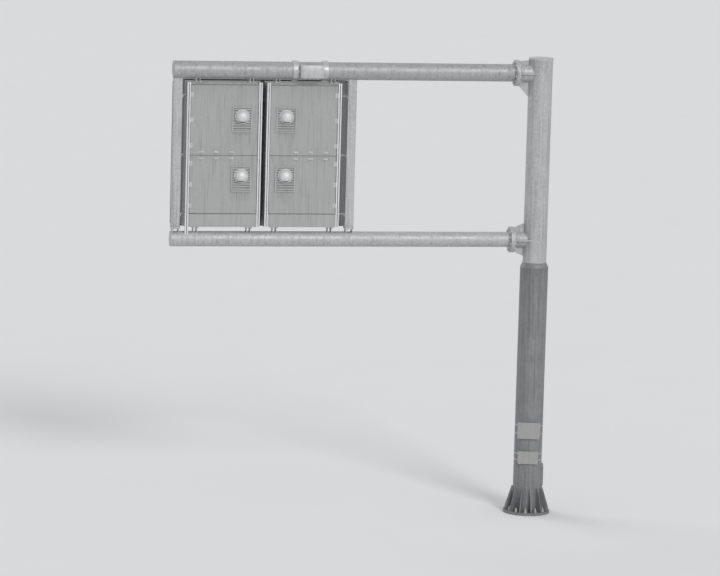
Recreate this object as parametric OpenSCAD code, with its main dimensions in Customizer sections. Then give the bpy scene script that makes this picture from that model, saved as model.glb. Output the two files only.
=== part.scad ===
// Cantilever sign gantry: one round mast, two round booms and a two-cabinet message sign between them.
// The origin is on the mast axis at the underside of the base flange. +Z is up and the booms reach along +X.
// The display looks along -Y and the cabinet doors are on the +Y side.

/* [Mast] */
// Height of the mast tube above the underside of the base flange
mast_h = 10750; // [10700:10:11200]
// Outside diameter of the lower mast tube
mast_low_d = 660; // [610:1:700]
// Wall of the lower mast tube
mast_low_wall = 16; // [10:1:25]
// Outside diameter of the upper mast tube
mast_up_d = 559; // [508:1:600]
// Wall of the upper mast tube
mast_up_wall = 14; // [10:1:25]
// Height of the joint between the two mast tubes
splice_z = 5900; // [4500:50:5950]
// Height of the tapered ring at that joint
reducer_h = 120; // [80:10:200]

/* [Base] */
// Diameter of the round base flange
base_d = 1100; // [1050:10:1200]
// Thickness of the base flange
base_t = 60; // [40:5:80]
// Number of holding-down bolts
base_bolts = 12; // [8:4:16]
// Pitch circle of the holding-down bolts
base_pcd = 900; // [860:10:950]
// Diameter of the holding-down bolt holes
base_hole_d = 42; // [36:1:48]
// Height of the base gussets above the flange
gusset_h = 540; // [400:20:560]
// Thickness of the base gussets
gusset_t = 20; // [12:1:30]
// Diameter of the two cable duct holes in the base flange
duct_hole_d = 114; // [80:1:150]

/* [Booms] */
// Distance from the mast axis to the end of the booms
reach = 8660; // [8650:10:9200]
// Height of the lower boom's axis
lower_boom_z = 6500; // [6450:10:6550]
// Height of the upper boom's axis
upper_boom_z = 10410; // [10380:10:10450]
// Outside diameter of the lower boom
lower_boom_d = 356; // [324:1:406]
// Outside diameter of the upper boom
upper_boom_d = 406; // [356:1:430]
// Wall of both booms
boom_wall = 12.5; // [8:0.5:16]
// Distance from the mast axis to the bolted joint of each boom
joint_x = 580; // [560:10:650]
// Diameter of the boom flanges
flange_d = 610; // [600:5:660]
// Thickness of each boom flange
flange_t = 45; // [30:5:60]
// Pitch circle of the boom flange bolts
flange_pcd = 510; // [500:5:540]
// Number of bolts in each boom joint
flange_bolts = 12; // [8:4:16]
// Diameter of the boom flange bolt holes
flange_hole_d = 33; // [26:1:36]

/* [Sign frame] */
// Distance from the mast axis to the middle of the inner post
inner_post_x = 4465; // [4300:5:4480]
// Width of the inner post
inner_post_w = 210; // [150:10:220]
// Width of the tip post
tip_post_w = 210; // [180:10:220]
// Depth of both posts
post_depth = 150; // [100:10:200]
// Wall of both posts
post_wall = 10; // [6:1:16]

/* [Sign cabinets] */
// Distance from the mast axis to the middle of the sign
sign_x = 6525; // [6500:5:6530]
// Width of each cabinet
cabinet_w = 1745; // [1640:5:1750]
// Gap between the two cabinets
cabinet_gap = 110; // [80:5:150]
// Height of the underside of the cabinets
cabinet_z = 6790; // [6760:5:6800]
// Height of the cabinets
cabinet_h = 3340; // [3300:5:3360]
// Depth of the cabinets
cabinet_depth = 520; // [400:10:600]
// Distance of the cabinets' rear face behind the boom axes
cabinet_back = 100; // [100:5:140]
// Sheet thickness of the cabinets and doors
sheet = 5; // [3:1:6]
// Height of the lower edge of the lower doors
door_low_z = 7100; // [7000:10:7200]
// Height of the line between the lower and the upper doors
door_mid_z = 8450; // [8400:10:8550]
// Height of the upper edge of the upper doors
door_top_z = 10080; // [10000:10:10090]

/* [Ventilators] */
// Distance from the middle of the sign to the middle of each ventilator
vent_x = 515; // [450:5:600]
// Height of the middle of the upper ventilators
vent_high_z = 9280; // [9200:10:9400]
// Height of the middle of the lower ventilators
vent_low_z = 7910; // [7800:10:7980]
// Width of a ventilator
vent_w = 470; // [420:10:500]
// Height of a ventilator
vent_h = 590; // [500:10:600]
// Number of louvre blades in a ventilator
vent_blades = 9; // [6:1:11]
// Diameter of the round cowl on a ventilator
cowl_d = 300; // [240:10:320]

/* [Hidden] */

$fn = 96;
eps = 1;
galvanised = "#b9bdbf";
weathered = "#8d9193";
sheet_grey = "#cfd2d0";
pale = "#dcdedb";
black = "#1b1c1e";
amber = "#c98a1e";

mast_low_r = mast_low_d / 2;
mast_up_r = mast_up_d / 2;
reducer_z = splice_z - reducer_h / 2;
mast_up_z = splice_z + reducer_h / 2;
cap_t = 25;
cap_lip = 8;
cap_skirt = 35;

stub_flange_x = joint_x - flange_t;
boom_start_x = joint_x + flange_t;
boom_cap_t = 26;
boom_end_x = reach - boom_cap_t;

outer_x0 = sign_x + cabinet_gap / 2;
outer_x1 = outer_x0 + cabinet_w;
inner_x1 = sign_x - cabinet_gap / 2;
inner_x0 = inner_x1 - cabinet_w;
cabinet_top = cabinet_z + cabinet_h;
cabinet_front = cabinet_back - cabinet_depth;

rail_w = 80;
rail_depth = 45;
rail_wall = 5;
rail_lip = 30;
door_edge_gap = 10;
door_depth = 30;
door_face_y = cabinet_back + door_depth;
door_gap = 10;
door_lip = 35;

door_h = 500;
door_w = 220;
door_z = 900;
door_frame_w = 30;
door_frame_out = 18;

plate_z = [2005, 1360];
plate_h = [390, 300];
plate_size_w = [530, 480];
plate_turn = 13;
strap_t = 3;
strap_h = 20;

// A straight round tube along Z.
module tube(d, wall, h) {
    difference() {
        cylinder(d = d, h = h);
        translate([0, 0, -eps]) cylinder(d = d - 2 * wall, h = h + 2 * eps);
    }
}

// Turns a piece that is drawn along Z so that it lies along +X from x at height z.
module along_x(x, z) {
    translate([x, 0, z]) rotate([0, 90, 0]) children();
}

// Holes on a pitch circle, drawn along Z.
module hole_ring(pcd, d, count, h) {
    for (i = [0:count - 1])
        rotate([0, 0, (i + 0.5) * 360 / count]) translate([pcd / 2, 0, -eps])
            cylinder(d = d, h = h + 2 * eps, $fn = 32);
}

// A rectangle with round corners, centred on the origin.
module round_rect(w, h, r) {
    square([w - 2 * r, h], center = true);
    square([w, h - 2 * r], center = true);
    for (sx = [-1, 1], sy = [-1, 1])
        translate([sx * (w / 2 - r), sy * (h / 2 - r)]) circle(r = r, $fn = 32);
}

module base_flange() {
    color(weathered) difference() {
        cylinder(d = base_d, h = base_t);
        hole_ring(base_pcd, base_hole_d, base_bolts, base_t);
        for (s = [-1, 1])
            translate([s * mast_low_r / 2, 0, -eps])
                cylinder(d = duct_hole_d, h = base_t + 2 * eps, $fn = 64);
    }
}

// One upright plate between the mast and the flange, with a clipped toe, a short flat top
// and a rounded notch that clears the weld at the foot of the mast.
module base_gusset() {
    toe = base_d / 2 - 20;
    rotate([90, 0, 0]) linear_extrude(gusset_t, center = true) difference() {
        polygon([[mast_low_r - 20, 0], [toe, 0], [toe, 50], [mast_low_r + 45, gusset_h],
            [mast_low_r - 20, gusset_h]]);
        translate([mast_low_r, 0]) circle(r = 30, $fn = 32);
    }
}

module base_gussets() {
    color(weathered) difference() {
        for (i = [0:base_bolts - 1])
            rotate([0, 0, i * 360 / base_bolts]) translate([0, 0, base_t]) base_gusset();
        cylinder(d = mast_low_d, h = base_t + gusset_h + eps);
    }
}

// The rounded outline of the access door, grown by extra, as a bar along -X.
module door_bar(extra, x0, x1) {
    translate([-x1, 0, door_z]) rotate([90, 0, 90])
        linear_extrude(x1 - x0) round_rect(door_w + 2 * extra, door_h + 2 * extra, 60 + extra);
}

module mast_lower() {
    color(weathered) difference() {
        translate([0, 0, base_t]) tube(mast_low_d, mast_low_wall, reducer_z - base_t);
        door_bar(0, mast_low_r / 2, mast_low_r + 50);
    }
}

// Welded collar round the access opening, standing out of the tube on the side away from the booms.
module access_door_frame() {
    color(weathered) difference() {
        door_bar(door_frame_w, mast_low_r / 2, mast_low_r + door_frame_out);
        door_bar(0, mast_low_r / 2 - eps, mast_low_r + door_frame_out + eps);
        cylinder(d = mast_low_d, h = splice_z);
    }
}

// Flush plate on the collar, with a round lock boss near its top.
module access_door() {
    lock_z = door_z + door_h / 2 - 90;
    color(weathered) union() {
        door_bar(door_frame_w - 6, mast_low_r + door_frame_out, mast_low_r + door_frame_out + 6);
        translate([-mast_low_r - door_frame_out - 5, 0, lock_z]) rotate([0, -90, 0])
            cylinder(d = 46, h = 17, $fn = 32);
    }
}

module mast_reducer() {
    color(weathered) rotate_extrude()
        polygon([[mast_low_r - mast_low_wall, reducer_z], [mast_low_r, reducer_z],
            [mast_low_r, reducer_z + 20], [mast_up_r, mast_up_z], [mast_up_r - mast_up_wall, mast_up_z]]);
}

module mast_upper() {
    color(galvanised) translate([0, 0, mast_up_z]) tube(mast_up_d, mast_up_wall, mast_h - mast_up_z);
}

// Lid with a turned-down skirt and a chamfered rim.
module mast_cap() {
    skirt_r = mast_up_r + cap_lip;
    color(pale) rotate_extrude()
        polygon([[0, mast_h], [mast_up_r, mast_h], [mast_up_r, mast_h - cap_skirt],
            [skirt_r, mast_h - cap_skirt], [skirt_r, mast_h + cap_t - 10],
            [skirt_r - 10, mast_h + cap_t], [0, mast_h + cap_t]]);
}

// Short arm that is shaped to the mast and carries the fixed flange.
module stub(z, d) {
    difference() {
        along_x(mast_up_r / 2, z) cylinder(d = d, h = stub_flange_x - mast_up_r / 2);
        along_x(0, z) cylinder(d = d - 2 * boom_wall, h = joint_x);
        translate([0, 0, z - d]) cylinder(d = mast_up_d, h = 2 * d);
    }
}

// Ring flange with its bolt circle, from x along +X.
module ring_flange(x, z, d) {
    along_x(x, z) difference() {
        cylinder(d = flange_d, h = flange_t);
        translate([0, 0, -eps]) cylinder(d = d - 2 * boom_wall, h = flange_t + 2 * eps);
        hole_ring(flange_pcd, flange_hole_d, flange_bolts, flange_t);
    }
}

// One haunch plate above or below an arm. reach_up is its height at the mast, over the arm.
module haunch(d, reach_up) {
    r = d / 2;
    edge = flange_d / 2 - 25;
    rotate([90, 0, 0]) linear_extrude(25, center = true)
        polygon([[mast_up_r - 40, r - 20], [mast_up_r - 40, r + reach_up], [mast_up_r + 25, r + reach_up],
            [stub_flange_x, edge], [stub_flange_x, r - 20]]);
}

// One side plate of an arm, wrapped round the flank of the mast.
module side_wing(d) {
    r = d / 2;
    edge = flange_d / 2 - 25;
    linear_extrude(25, center = true)
        polygon([[mast_up_r * 0.3, r - 20], [mast_up_r * 0.3, mast_up_r - 15], [mast_up_r, mast_up_r],
            [stub_flange_x, edge], [stub_flange_x, r - 20]]);
}

module stub_gussets(z, d, above, below) {
    color(galvanised) difference() {
        translate([0, 0, z]) union() {
            haunch(d, above);
            mirror([0, 0, 1]) haunch(d, below);
            for (side = [0, 1])
                mirror([0, side, 0]) side_wing(d);
        }
        along_x(0, z) cylinder(d = d, h = joint_x);
        translate([0, 0, z - mast_up_d]) cylinder(d = mast_up_d, h = 2 * mast_up_d);
    }
}

module lower_stub() { color(galvanised) stub(lower_boom_z, lower_boom_d); }
module upper_stub() { color(galvanised) stub(upper_boom_z, upper_boom_d); }
module lower_stub_flange() { color(galvanised) ring_flange(stub_flange_x, lower_boom_z, lower_boom_d); }
module upper_stub_flange() { color(galvanised) ring_flange(stub_flange_x, upper_boom_z, upper_boom_d); }
module lower_boom_flange() { color(galvanised) ring_flange(joint_x, lower_boom_z, lower_boom_d); }
module upper_boom_flange() { color(galvanised) ring_flange(joint_x, upper_boom_z, upper_boom_d); }
module lower_stub_gussets() { stub_gussets(lower_boom_z, lower_boom_d, 200, 200); }
module upper_stub_gussets() { stub_gussets(upper_boom_z, upper_boom_d, 95, 330); }

module boom(z, d) {
    color(galvanised) along_x(boom_start_x, z) tube(d, boom_wall, boom_end_x - boom_start_x);
}

module lower_boom() { boom(lower_boom_z, lower_boom_d); }
module upper_boom() { boom(upper_boom_z, upper_boom_d); }

// Dished end of a boom: the cut of a large ball, on a short straight skirt.
module boom_cap(z, d) {
    skirt = 8;
    rise = boom_cap_t - skirt;
    ball_r = (pow(d / 2, 2) + pow(rise, 2)) / (2 * rise);
    color(galvanised) along_x(boom_end_x, z) intersection() {
        cylinder(d = d, h = boom_cap_t + eps);
        translate([0, 0, boom_cap_t - ball_r]) sphere(r = ball_r, $fn = 180);
    }
}

module lower_boom_cap() { boom_cap(lower_boom_z, lower_boom_d); }
module upper_boom_cap() { boom_cap(upper_boom_z, upper_boom_d); }

// What the two booms take out of the pieces that are shaped to sit on them.
module boom_rods() {
    along_x(0, lower_boom_z) cylinder(d = lower_boom_d, h = reach + eps);
    along_x(0, upper_boom_z) cylinder(d = upper_boom_d, h = reach + eps);
}

post_plate_t = 20;
post_plate_out = 45;
stool_in = 30;
post_z = cabinet_z - post_plate_t;

// Hollow rectangular post: shaped and welded to the upper boom, bolted to a stool on the lower one.
module post(x, w) {
    color(galvanised) difference() {
        translate([x, 0, post_z]) union() {
            linear_extrude(upper_boom_z - post_z) difference() {
                round_rect(w, post_depth, 2 * post_wall);
                round_rect(w - 2 * post_wall, post_depth - 2 * post_wall, post_wall);
            }
            linear_extrude(post_plate_t) round_rect(w, post_depth + 2 * post_plate_out, 15);
        }
        boom_rods();
    }
}

// Plate on two webs, shaped to the lower boom, under the foot of each post.
module post_stool(x, w) {
    translate([x, 0, post_z - post_plate_t])
        linear_extrude(post_plate_t) round_rect(w, post_depth + 2 * post_plate_out, 15);
    for (s = [-1, 1])
        translate([x + s * (w / 2 - stool_in) - 10, -post_depth / 2 - 20, lower_boom_z])
            cube([20, post_depth + 40, post_z - lower_boom_z - 1]);
}

module post_stools() {
    color(galvanised) difference() {
        union() {
            post_stool(inner_post_x, inner_post_w);
            post_stool(boom_end_x - tip_post_w / 2, tip_post_w);
        }
        boom_rods();
    }
}

module tip_post() { post(boom_end_x - tip_post_w / 2, tip_post_w); }
module inner_post() { post(inner_post_x, inner_post_w); }

foot_xs = [inner_x0 + 200, inner_x1 - 250, outer_x0 + 250, outer_x1 - 250];
foot_w = 160;
foot_l = 240;
foot_t = 15;

// I-shaped pad between a boom and a cabinet: a flat plate, two webs and a saddle shaped to the tube.
module saddle(x, z0, z1) {
    translate([x - foot_w / 2, -foot_l / 2, z0]) cube([foot_w, foot_l, foot_t]);
    for (s = [-1, 1])
        translate([x + s * (foot_w / 2 - 40) - foot_t / 2, -foot_l / 2 + 20, min(z0, z1)])
            cube([foot_t, foot_l - 40, abs(z1 - z0)]);
}

module cabinet_feet() {
    color(galvanised) difference() {
        for (x = foot_xs)
            saddle(x, cabinet_z - foot_t, lower_boom_z + lower_boom_d / 4);
        boom_rods();
        translate([0, -foot_l, cabinet_z]) cube([reach, 2 * foot_l, 200]);
    }
}

module cabinet_hangers() {
    color(galvanised) difference() {
        for (x = foot_xs)
            saddle(x, cabinet_top, upper_boom_z - upper_boom_d / 4);
        boom_rods();
    }
}

bracket_zs = [cabinet_z + 300, cabinet_z + cabinet_h / 2, cabinet_top - 300];

// Angle bracket with a rib, from a post face to a cabinet side.
module side_bracket(x0, x1, z) {
    l = x1 - x0;
    translate([x0, -50, z]) cube([l, 100, 12]);
    translate([x0, -50, z - 60]) cube([12, 100, 72]);
    translate([x1 - 12, -50, z - 60]) cube([12, 100, 72]);
    translate([x0, 0, z]) rotate([90, 0, 0])
        linear_extrude(10, center = true) polygon([[0, 0], [l, 0], [l, -50], [l / 2, -12], [0, -50]]);
}

module side_brackets() {
    color(galvanised) for (z = bracket_zs) {
        side_bracket(inner_post_x + inner_post_w / 2, inner_x0, z);
        side_bracket(outer_x1, boom_end_x - tip_post_w, z);
    }
}

// Sheet housing, closed at the front, with one opening behind each door, a drip edge over the doors
// and a plinth below them that is flush with the door faces.
module cabinet(x0) {
    lip = rail_w + door_edge_gap + door_lip;
    color(sheet_grey) union() {
        difference() {
            translate([x0, cabinet_front, cabinet_z]) cube([cabinet_w, cabinet_depth, cabinet_h]);
            translate([x0 + sheet, cabinet_front + sheet, cabinet_z + sheet])
                cube([cabinet_w - 2 * sheet, cabinet_depth - 2 * sheet, cabinet_h - 2 * sheet]);
            for (span = [[door_low_z, door_mid_z], [door_mid_z, door_top_z]])
                translate([x0 + lip, cabinet_back - 2 * sheet, span[0] + door_lip])
                    cube([cabinet_w - 2 * lip, 3 * sheet, span[1] - span[0] - 2 * door_lip]);
        }
        translate([x0 + rail_w, cabinet_back - eps, door_top_z + 2])
            cube([cabinet_w - 2 * rail_w, door_depth + 20 + eps, sheet]);
        translate([x0 + rail_w, cabinet_back - eps, cabinet_z])
            cube([cabinet_w - 2 * rail_w, door_depth + eps, door_low_z - cabinet_z - door_gap]);
    }
}

module outer_cabinet() { cabinet(outer_x0); }
module inner_cabinet() { cabinet(inner_x0); }

// Folded door: a flat face with its four edges turned back to the cabinet.
module door(x0, z0, z1) {
    w = cabinet_w - 2 * (rail_w + door_edge_gap);
    h = z1 - z0 - door_gap;
    color(sheet_grey) translate([x0 + rail_w + door_edge_gap, cabinet_back, z0 + door_gap / 2]) difference() {
        cube([w, door_depth, h]);
        translate([sheet, -eps, sheet]) cube([w - 2 * sheet, door_depth - sheet + eps, h - 2 * sheet]);
    }
}

module outer_upper_door() { door(outer_x0, door_mid_z, door_top_z); }
module outer_lower_door() { door(outer_x0, door_low_z, door_mid_z); }
module inner_upper_door() { door(inner_x0, door_mid_z, door_top_z); }
module inner_lower_door() { door(inner_x0, door_low_z, door_mid_z); }

// Lipped channel, open to the rear, drawn along Z from z0 to z1.
module rail(x, z0, z1) {
    translate([x, cabinet_back, z0]) linear_extrude(z1 - z0) difference() {
        translate([-rail_w / 2, 0]) square([rail_w, rail_depth]);
        translate([-rail_w / 2 + rail_wall, rail_wall])
            square([rail_w - 2 * rail_wall, rail_depth - 2 * rail_wall]);
        translate([-rail_w / 2 + rail_lip, rail_depth - 2 * rail_wall])
            square([rail_w - 2 * rail_lip, 3 * rail_wall]);
    }
}

// The rail nearest the boom tips runs on down to the lower boom.
module corner_rails() {
    color(pale) difference() {
        union() {
            for (x = [inner_x0, outer_x0])
                rail(x + rail_w / 2, cabinet_z, cabinet_top);
            rail(inner_x1 - rail_w / 2, cabinet_z, cabinet_top);
            rail(outer_x1 - rail_w / 2, lower_boom_z + 50, cabinet_top);
        }
        boom_rods();
    }
}

vent_places = [for (s = [-1, 1], z = [vent_high_z, vent_low_z]) [sign_x + s * vent_x, z]];
vent_depth = 24;
vent_border = 30;
cowl_flange_d = cowl_d + 40;
cowl_up = 70;

// Square louvre: a raised border, slanted blades and a round seat for the cowl.
module louvre() {
    inner_w = vent_w - 2 * vent_border;
    inner_h = vent_h - 2 * vent_border;
    pitch = inner_h / vent_blades;
    rise = 0.55 * pitch;
    rotate([90, 0, 0]) translate([0, 0, -vent_depth]) linear_extrude(vent_depth) difference() {
        square([vent_w, vent_h], center = true);
        square([inner_w, inner_h], center = true);
    }
    difference() {
        for (i = [0:vent_blades - 1])
            translate([-inner_w / 2 - eps, 0, -inner_h / 2 + (i + 0.2) * pitch]) rotate([90, 0, 90])
                linear_extrude(inner_w + 2 * eps)
                    polygon([[0, rise], [0, rise + 4], [vent_depth, 4], [vent_depth, 0]]);
        translate([0, -eps, cowl_up]) rotate([-90, 0, 0])
            cylinder(d = cowl_flange_d - 20, h = vent_depth + 2 * eps);
    }
    translate([0, 0, cowl_up]) rotate([-90, 0, 0]) difference() {
        cylinder(d = cowl_flange_d, h = vent_depth);
        translate([0, 0, -eps]) cylinder(d = cowl_d - 60, h = vent_depth + 2 * eps);
    }
}

module vent_louvres() {
    color(sheet_grey) for (p = vent_places)
        translate([p[0], door_face_y, p[1]]) louvre();
}

// Round cowl: a rim ring and a hollow half ball over the seat, with an air mouth cut in its underside.
module cowl() {
    rim = 14;
    mouth_z = 0.34 * cowl_d;
    rotate([-90, 0, 0]) union() {
        difference() {
            cylinder(d = cowl_flange_d, h = rim);
            translate([0, 0, -eps]) cylinder(d = cowl_d - 12, h = rim + 2 * eps);
        }
        difference() {
            sphere(d = cowl_d);
            sphere(d = cowl_d - 12);
            translate([-cowl_d, -cowl_d, -2 * cowl_d]) cube([2 * cowl_d, 2 * cowl_d, 2 * cowl_d]);
            translate([-cowl_d, mouth_z, rim]) cube([2 * cowl_d, cowl_d, cowl_d]);
        }
    }
}

module vent_cowls() {
    color(pale) for (p = vent_places)
        translate([p[0], door_face_y + vent_depth, p[1] + cowl_up]) cowl();
}

hinge_xs = [inner_x0 + rail_w + door_edge_gap, outer_x1 - rail_w - door_edge_gap];
hinge_zs = [for (span = [[door_low_z, door_mid_z], [door_mid_z, door_top_z]], t = [0.14, 0.5, 0.86])
    span[0] + t * (span[1] - span[0])];
hinge_h = 110;
hinge_r = 10;
leaf_w = 60;

// Barrel hinge with its leaf on the door face. The barrel touches the rail beside the door.
module hinge(side) {
    translate([0, hinge_r, -hinge_h / 2]) cylinder(r = hinge_r, h = hinge_h, $fn = 24);
    translate([side > 0 ? 0 : -leaf_w, 0, -hinge_h / 2]) cube([leaf_w, 6, hinge_h]);
}

module door_hinges() {
    color(galvanised) for (i = [0, 1], z = hinge_zs)
        translate([hinge_xs[i], door_face_y, z]) hinge(i == 0 ? 1 : -1);
}

latch_in = 350;
latch_step = 350;
latch_xs = [for (i = [0:2], end = [inner_x0 + latch_in, outer_x1 - latch_in])
    end + (end < sign_x ? 1 : -1) * i * latch_step];
latch_w = 120;

// Tee handle on an oblong plate.
module latch() {
    rotate([-90, 0, 0]) linear_extrude(6) round_rect(latch_w, 50, 20);
    rotate([-90, 0, 0]) cylinder(d = 26, h = 30, $fn = 24);
    translate([-45, 24, -9]) cube([90, 14, 18]);
}

module door_latches() {
    color(weathered) for (x = latch_xs, s = [-1, 1])
        translate([x, door_face_y, door_mid_z + s * 75]) latch();
}

board_depth = 50;
board_sheet = 4;
board_side = 260;
board_x0 = inner_x0 - board_side;
board_w = outer_x1 + board_side - board_x0;
board_z0 = cabinet_z - 40;
board_h = cabinet_h + 70;
board_mid = [board_x0 + board_w / 2, cabinet_front, board_z0 + board_h / 2];
board_y = cabinet_front - board_depth;
rib_w = 60;
display_w = 1500;
display_h = 2500;
display_t = 35;
display_z = cabinet_z + cabinet_h / 2;

// Black surround across both cabinets: a folded tray, open to the rear, on upright ribs.
module front_board() {
    color(black) union() {
        translate(board_mid) rotate([90, 0, 0]) difference() {
            linear_extrude(board_depth) round_rect(board_w, board_h, 80);
            translate([0, 0, -eps]) linear_extrude(board_depth - board_sheet + eps)
                round_rect(board_w - 2 * board_sheet, board_h - 2 * board_sheet, 80 - board_sheet);
        }
        for (x = foot_xs)
            translate([x - rib_w / 2, board_y + board_sheet - eps, board_z0 + board_sheet - eps])
                cube([rib_w, board_depth - board_sheet + eps, board_h - 2 * board_sheet + 2 * eps]);
    }
}

// Flat matrix module with a raised rim.
module display(x) {
    color(black) translate([x, board_y, display_z]) rotate([90, 0, 0]) difference() {
        linear_extrude(display_t) round_rect(display_w, display_h, 30);
        translate([0, 0, display_t - 10]) linear_extrude(20) round_rect(display_w - 60, display_h - 60, 15);
    }
}

module outer_display() { display(outer_x0 + cabinet_w / 2); }
module inner_display() { display(inner_x0 + cabinet_w / 2); }

// Sloping sun hood over the displays, with closed ends.
module display_visor() {
    side = 365;
    hood_l = board_w - 2 * side;
    out = 260;
    color(black) translate([board_x0 + side, board_y, display_z + display_h / 2 + 60]) union() {
        rotate([90, 0, 90]) linear_extrude(hood_l)
            polygon([[0, 0], [0, 60], [-6, 60], [-out, 6], [-out, 0], [-6, 54], [-6, 0]]);
        for (x = [0, hood_l - 6])
            translate([x, 0, 0]) rotate([90, 0, 90])
                linear_extrude(6) polygon([[0, 0], [0, 60], [-out, 6], [-out, 0]]);
    }
}

lantern_d = 220;
lantern_in = 210;

// Round flashing lantern with a tunnel hood that is cut away below.
module lantern() {
    rotate([90, 0, 0]) {
        cylinder(d = lantern_d, h = 40, $fn = 48);
        translate([0, 0, 40]) intersection() {
            difference() {
                cylinder(d = lantern_d, h = 120, $fn = 48);
                translate([0, 0, -eps]) cylinder(d = lantern_d - 12, h = 120 + 2 * eps, $fn = 48);
            }
            rotate([0, 90, 0]) linear_extrude(lantern_d + 2, center = true)
                polygon([[0, -lantern_d], [0, lantern_d], [-120, lantern_d], [-60, -lantern_d]]);
        }
    }
}

module warning_lanterns() {
    color(amber) for (x = [board_x0 + lantern_in, board_x0 + board_w - lantern_in],
            z = [board_z0 + lantern_in, board_z0 + board_h - lantern_in])
        translate([x, board_y, z]) lantern();
}

clamp_xs = [5120, 5820];
clamp_w = 130;
clamp_t = 16;
ear_t = 40;
ear_low = 60;
ear_high = 35;
cable_box_h = 300;
cable_box_depth = 150;

// Cable box on the rear of the upper boom, held by two collars that are bolted above and below the tube.
module junction_box() {
    r = upper_boom_d / 2;
    box_l = clamp_xs[1] - clamp_xs[0] - 180;
    color(pale) difference() {
        union() {
            for (x = clamp_xs) {
                along_x(x - clamp_w / 2, upper_boom_z) cylinder(r = r + clamp_t, h = clamp_w);
                translate([x - clamp_w / 2, -ear_t / 2, upper_boom_z - r - ear_low])
                    cube([clamp_w, ear_t, 2 * r + ear_low + ear_high]);
            }
            translate([clamp_xs[0] + 90, r, upper_boom_z - cable_box_h / 2])
                cube([box_l, cable_box_depth, cable_box_h]);
            translate([clamp_xs[0], r - 10, upper_boom_z - 40]) cube([box_l + 180, 30, 80]);
        }
        boom_rods();
    }
}

// Blank number plates on the rear of the mast, turned a little to the booms, each on two saddles.
module marker_plates() {
    color(pale) difference() {
        rotate([0, 0, -plate_turn]) for (i = [0, 1]) {
            translate([0, mast_low_r + 35, plate_z[i]]) rotate([-90, 0, 0])
                linear_extrude(4) round_rect(plate_size_w[i], plate_h[i], 25);
            for (s = [-1, 1]) {
                translate([-60, mast_low_r - 30, plate_z[i] + s * plate_h[i] / 4 - 20]) cube([120, 65, 40]);
                translate([-plate_size_w[i] / 2 + 20, mast_low_r + 15, plate_z[i] + s * plate_h[i] / 4 - 20])
                    cube([plate_size_w[i] - 40, 20, 40]);
            }
        }
        cylinder(r = mast_low_r + strap_t, h = splice_z);
    }
}

module marker_straps() {
    color(galvanised) for (i = [0, 1], s = [-1, 1])
        translate([0, 0, plate_z[i] + s * plate_h[i] / 4 - strap_h / 2])
            tube(mast_low_d + 2 * strap_t, strap_t, strap_h);
}

base_flange();
base_gussets();
mast_lower();
access_door_frame();
access_door();
mast_reducer();
mast_upper();
mast_cap();
lower_stub();
lower_stub_flange();
lower_stub_gussets();
upper_stub();
upper_stub_flange();
upper_stub_gussets();
lower_boom_flange();
lower_boom();
lower_boom_cap();
upper_boom_flange();
upper_boom();
upper_boom_cap();
tip_post();
inner_post();
post_stools();
cabinet_feet();
cabinet_hangers();
side_brackets();
outer_cabinet();
outer_upper_door();
outer_lower_door();
inner_cabinet();
inner_upper_door();
inner_lower_door();
corner_rails();
vent_louvres();
vent_cowls();
door_hinges();
door_latches();
front_board();
outer_display();
inner_display();
display_visor();
warning_lanterns();
junction_box();
marker_plates();
marker_straps();
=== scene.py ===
"""Finishes, fasteners, welds, seals and lenses of a cantilever sign gantry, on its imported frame.

All sizes are in metres. +Z is up the mast, +X runs along the booms, -Y is the way the display looks
and +Y is the side of the cabinet doors.
"""

import math

import bmesh
import bpy
from bpy.props import FloatProperty, FloatVectorProperty, IntProperty, PointerProperty
from mathutils import Matrix, Vector


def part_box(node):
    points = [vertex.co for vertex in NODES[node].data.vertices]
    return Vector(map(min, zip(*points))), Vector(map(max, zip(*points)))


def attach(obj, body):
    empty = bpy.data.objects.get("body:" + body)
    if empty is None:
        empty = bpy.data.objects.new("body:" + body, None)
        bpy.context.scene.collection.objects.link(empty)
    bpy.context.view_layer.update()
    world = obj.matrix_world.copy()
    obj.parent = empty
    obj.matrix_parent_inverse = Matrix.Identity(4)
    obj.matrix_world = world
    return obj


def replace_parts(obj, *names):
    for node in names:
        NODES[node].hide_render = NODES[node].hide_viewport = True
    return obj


bl_info = {
    "name": "Cantilever Sign Gantry",
    "version": (1, 0, 0),
    "blender": (4, 5, 0),
    "location": "3D View > Sidebar > Gantry",
    "description": "Finishes, fasteners, welds, seals and lenses of a cantilever sign gantry",
    "category": "Object",
}

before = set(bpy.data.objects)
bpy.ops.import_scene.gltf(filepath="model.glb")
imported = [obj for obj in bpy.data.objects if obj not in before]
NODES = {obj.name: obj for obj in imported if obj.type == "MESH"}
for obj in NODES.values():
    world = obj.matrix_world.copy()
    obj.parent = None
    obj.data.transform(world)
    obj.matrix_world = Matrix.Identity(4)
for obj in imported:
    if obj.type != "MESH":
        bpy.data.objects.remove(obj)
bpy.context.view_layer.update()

X, Y, Z = 0, 1, 2
UP, DOWN = (0, 0, 1), (0, 0, -1)
TIPWARD, MASTWARD = (1, 0, 0), (-1, 0, 0)
REARWARD, FRONTWARD = (0, 1, 0), (0, -1, 0)


def span(node, axis):
    """The two ends of a CAD node along an axis."""
    low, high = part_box(node)
    return round(low[axis], 4), round(high[axis], 4)


def centred(node, axis):
    """The middle of a CAD node along an axis, and its width."""
    low, high = span(node, axis)
    return round((low + high) / 2, 4), round(high - low, 4)


def inside(ends, by):
    """Two places a little way in from two ends."""
    return round(ends[0] + by, 4), round(ends[1] - by, 4)


def tube(node):
    """The height of a boom's axis, and its radius."""
    middle, width = centred(node, Z)
    return middle, width / 2


def around(count, first=0.0):
    """Evenly spaced angles of a full turn, from a first one in degrees."""
    return [math.radians(first + 360 * i / count) for i in range(count)]


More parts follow.
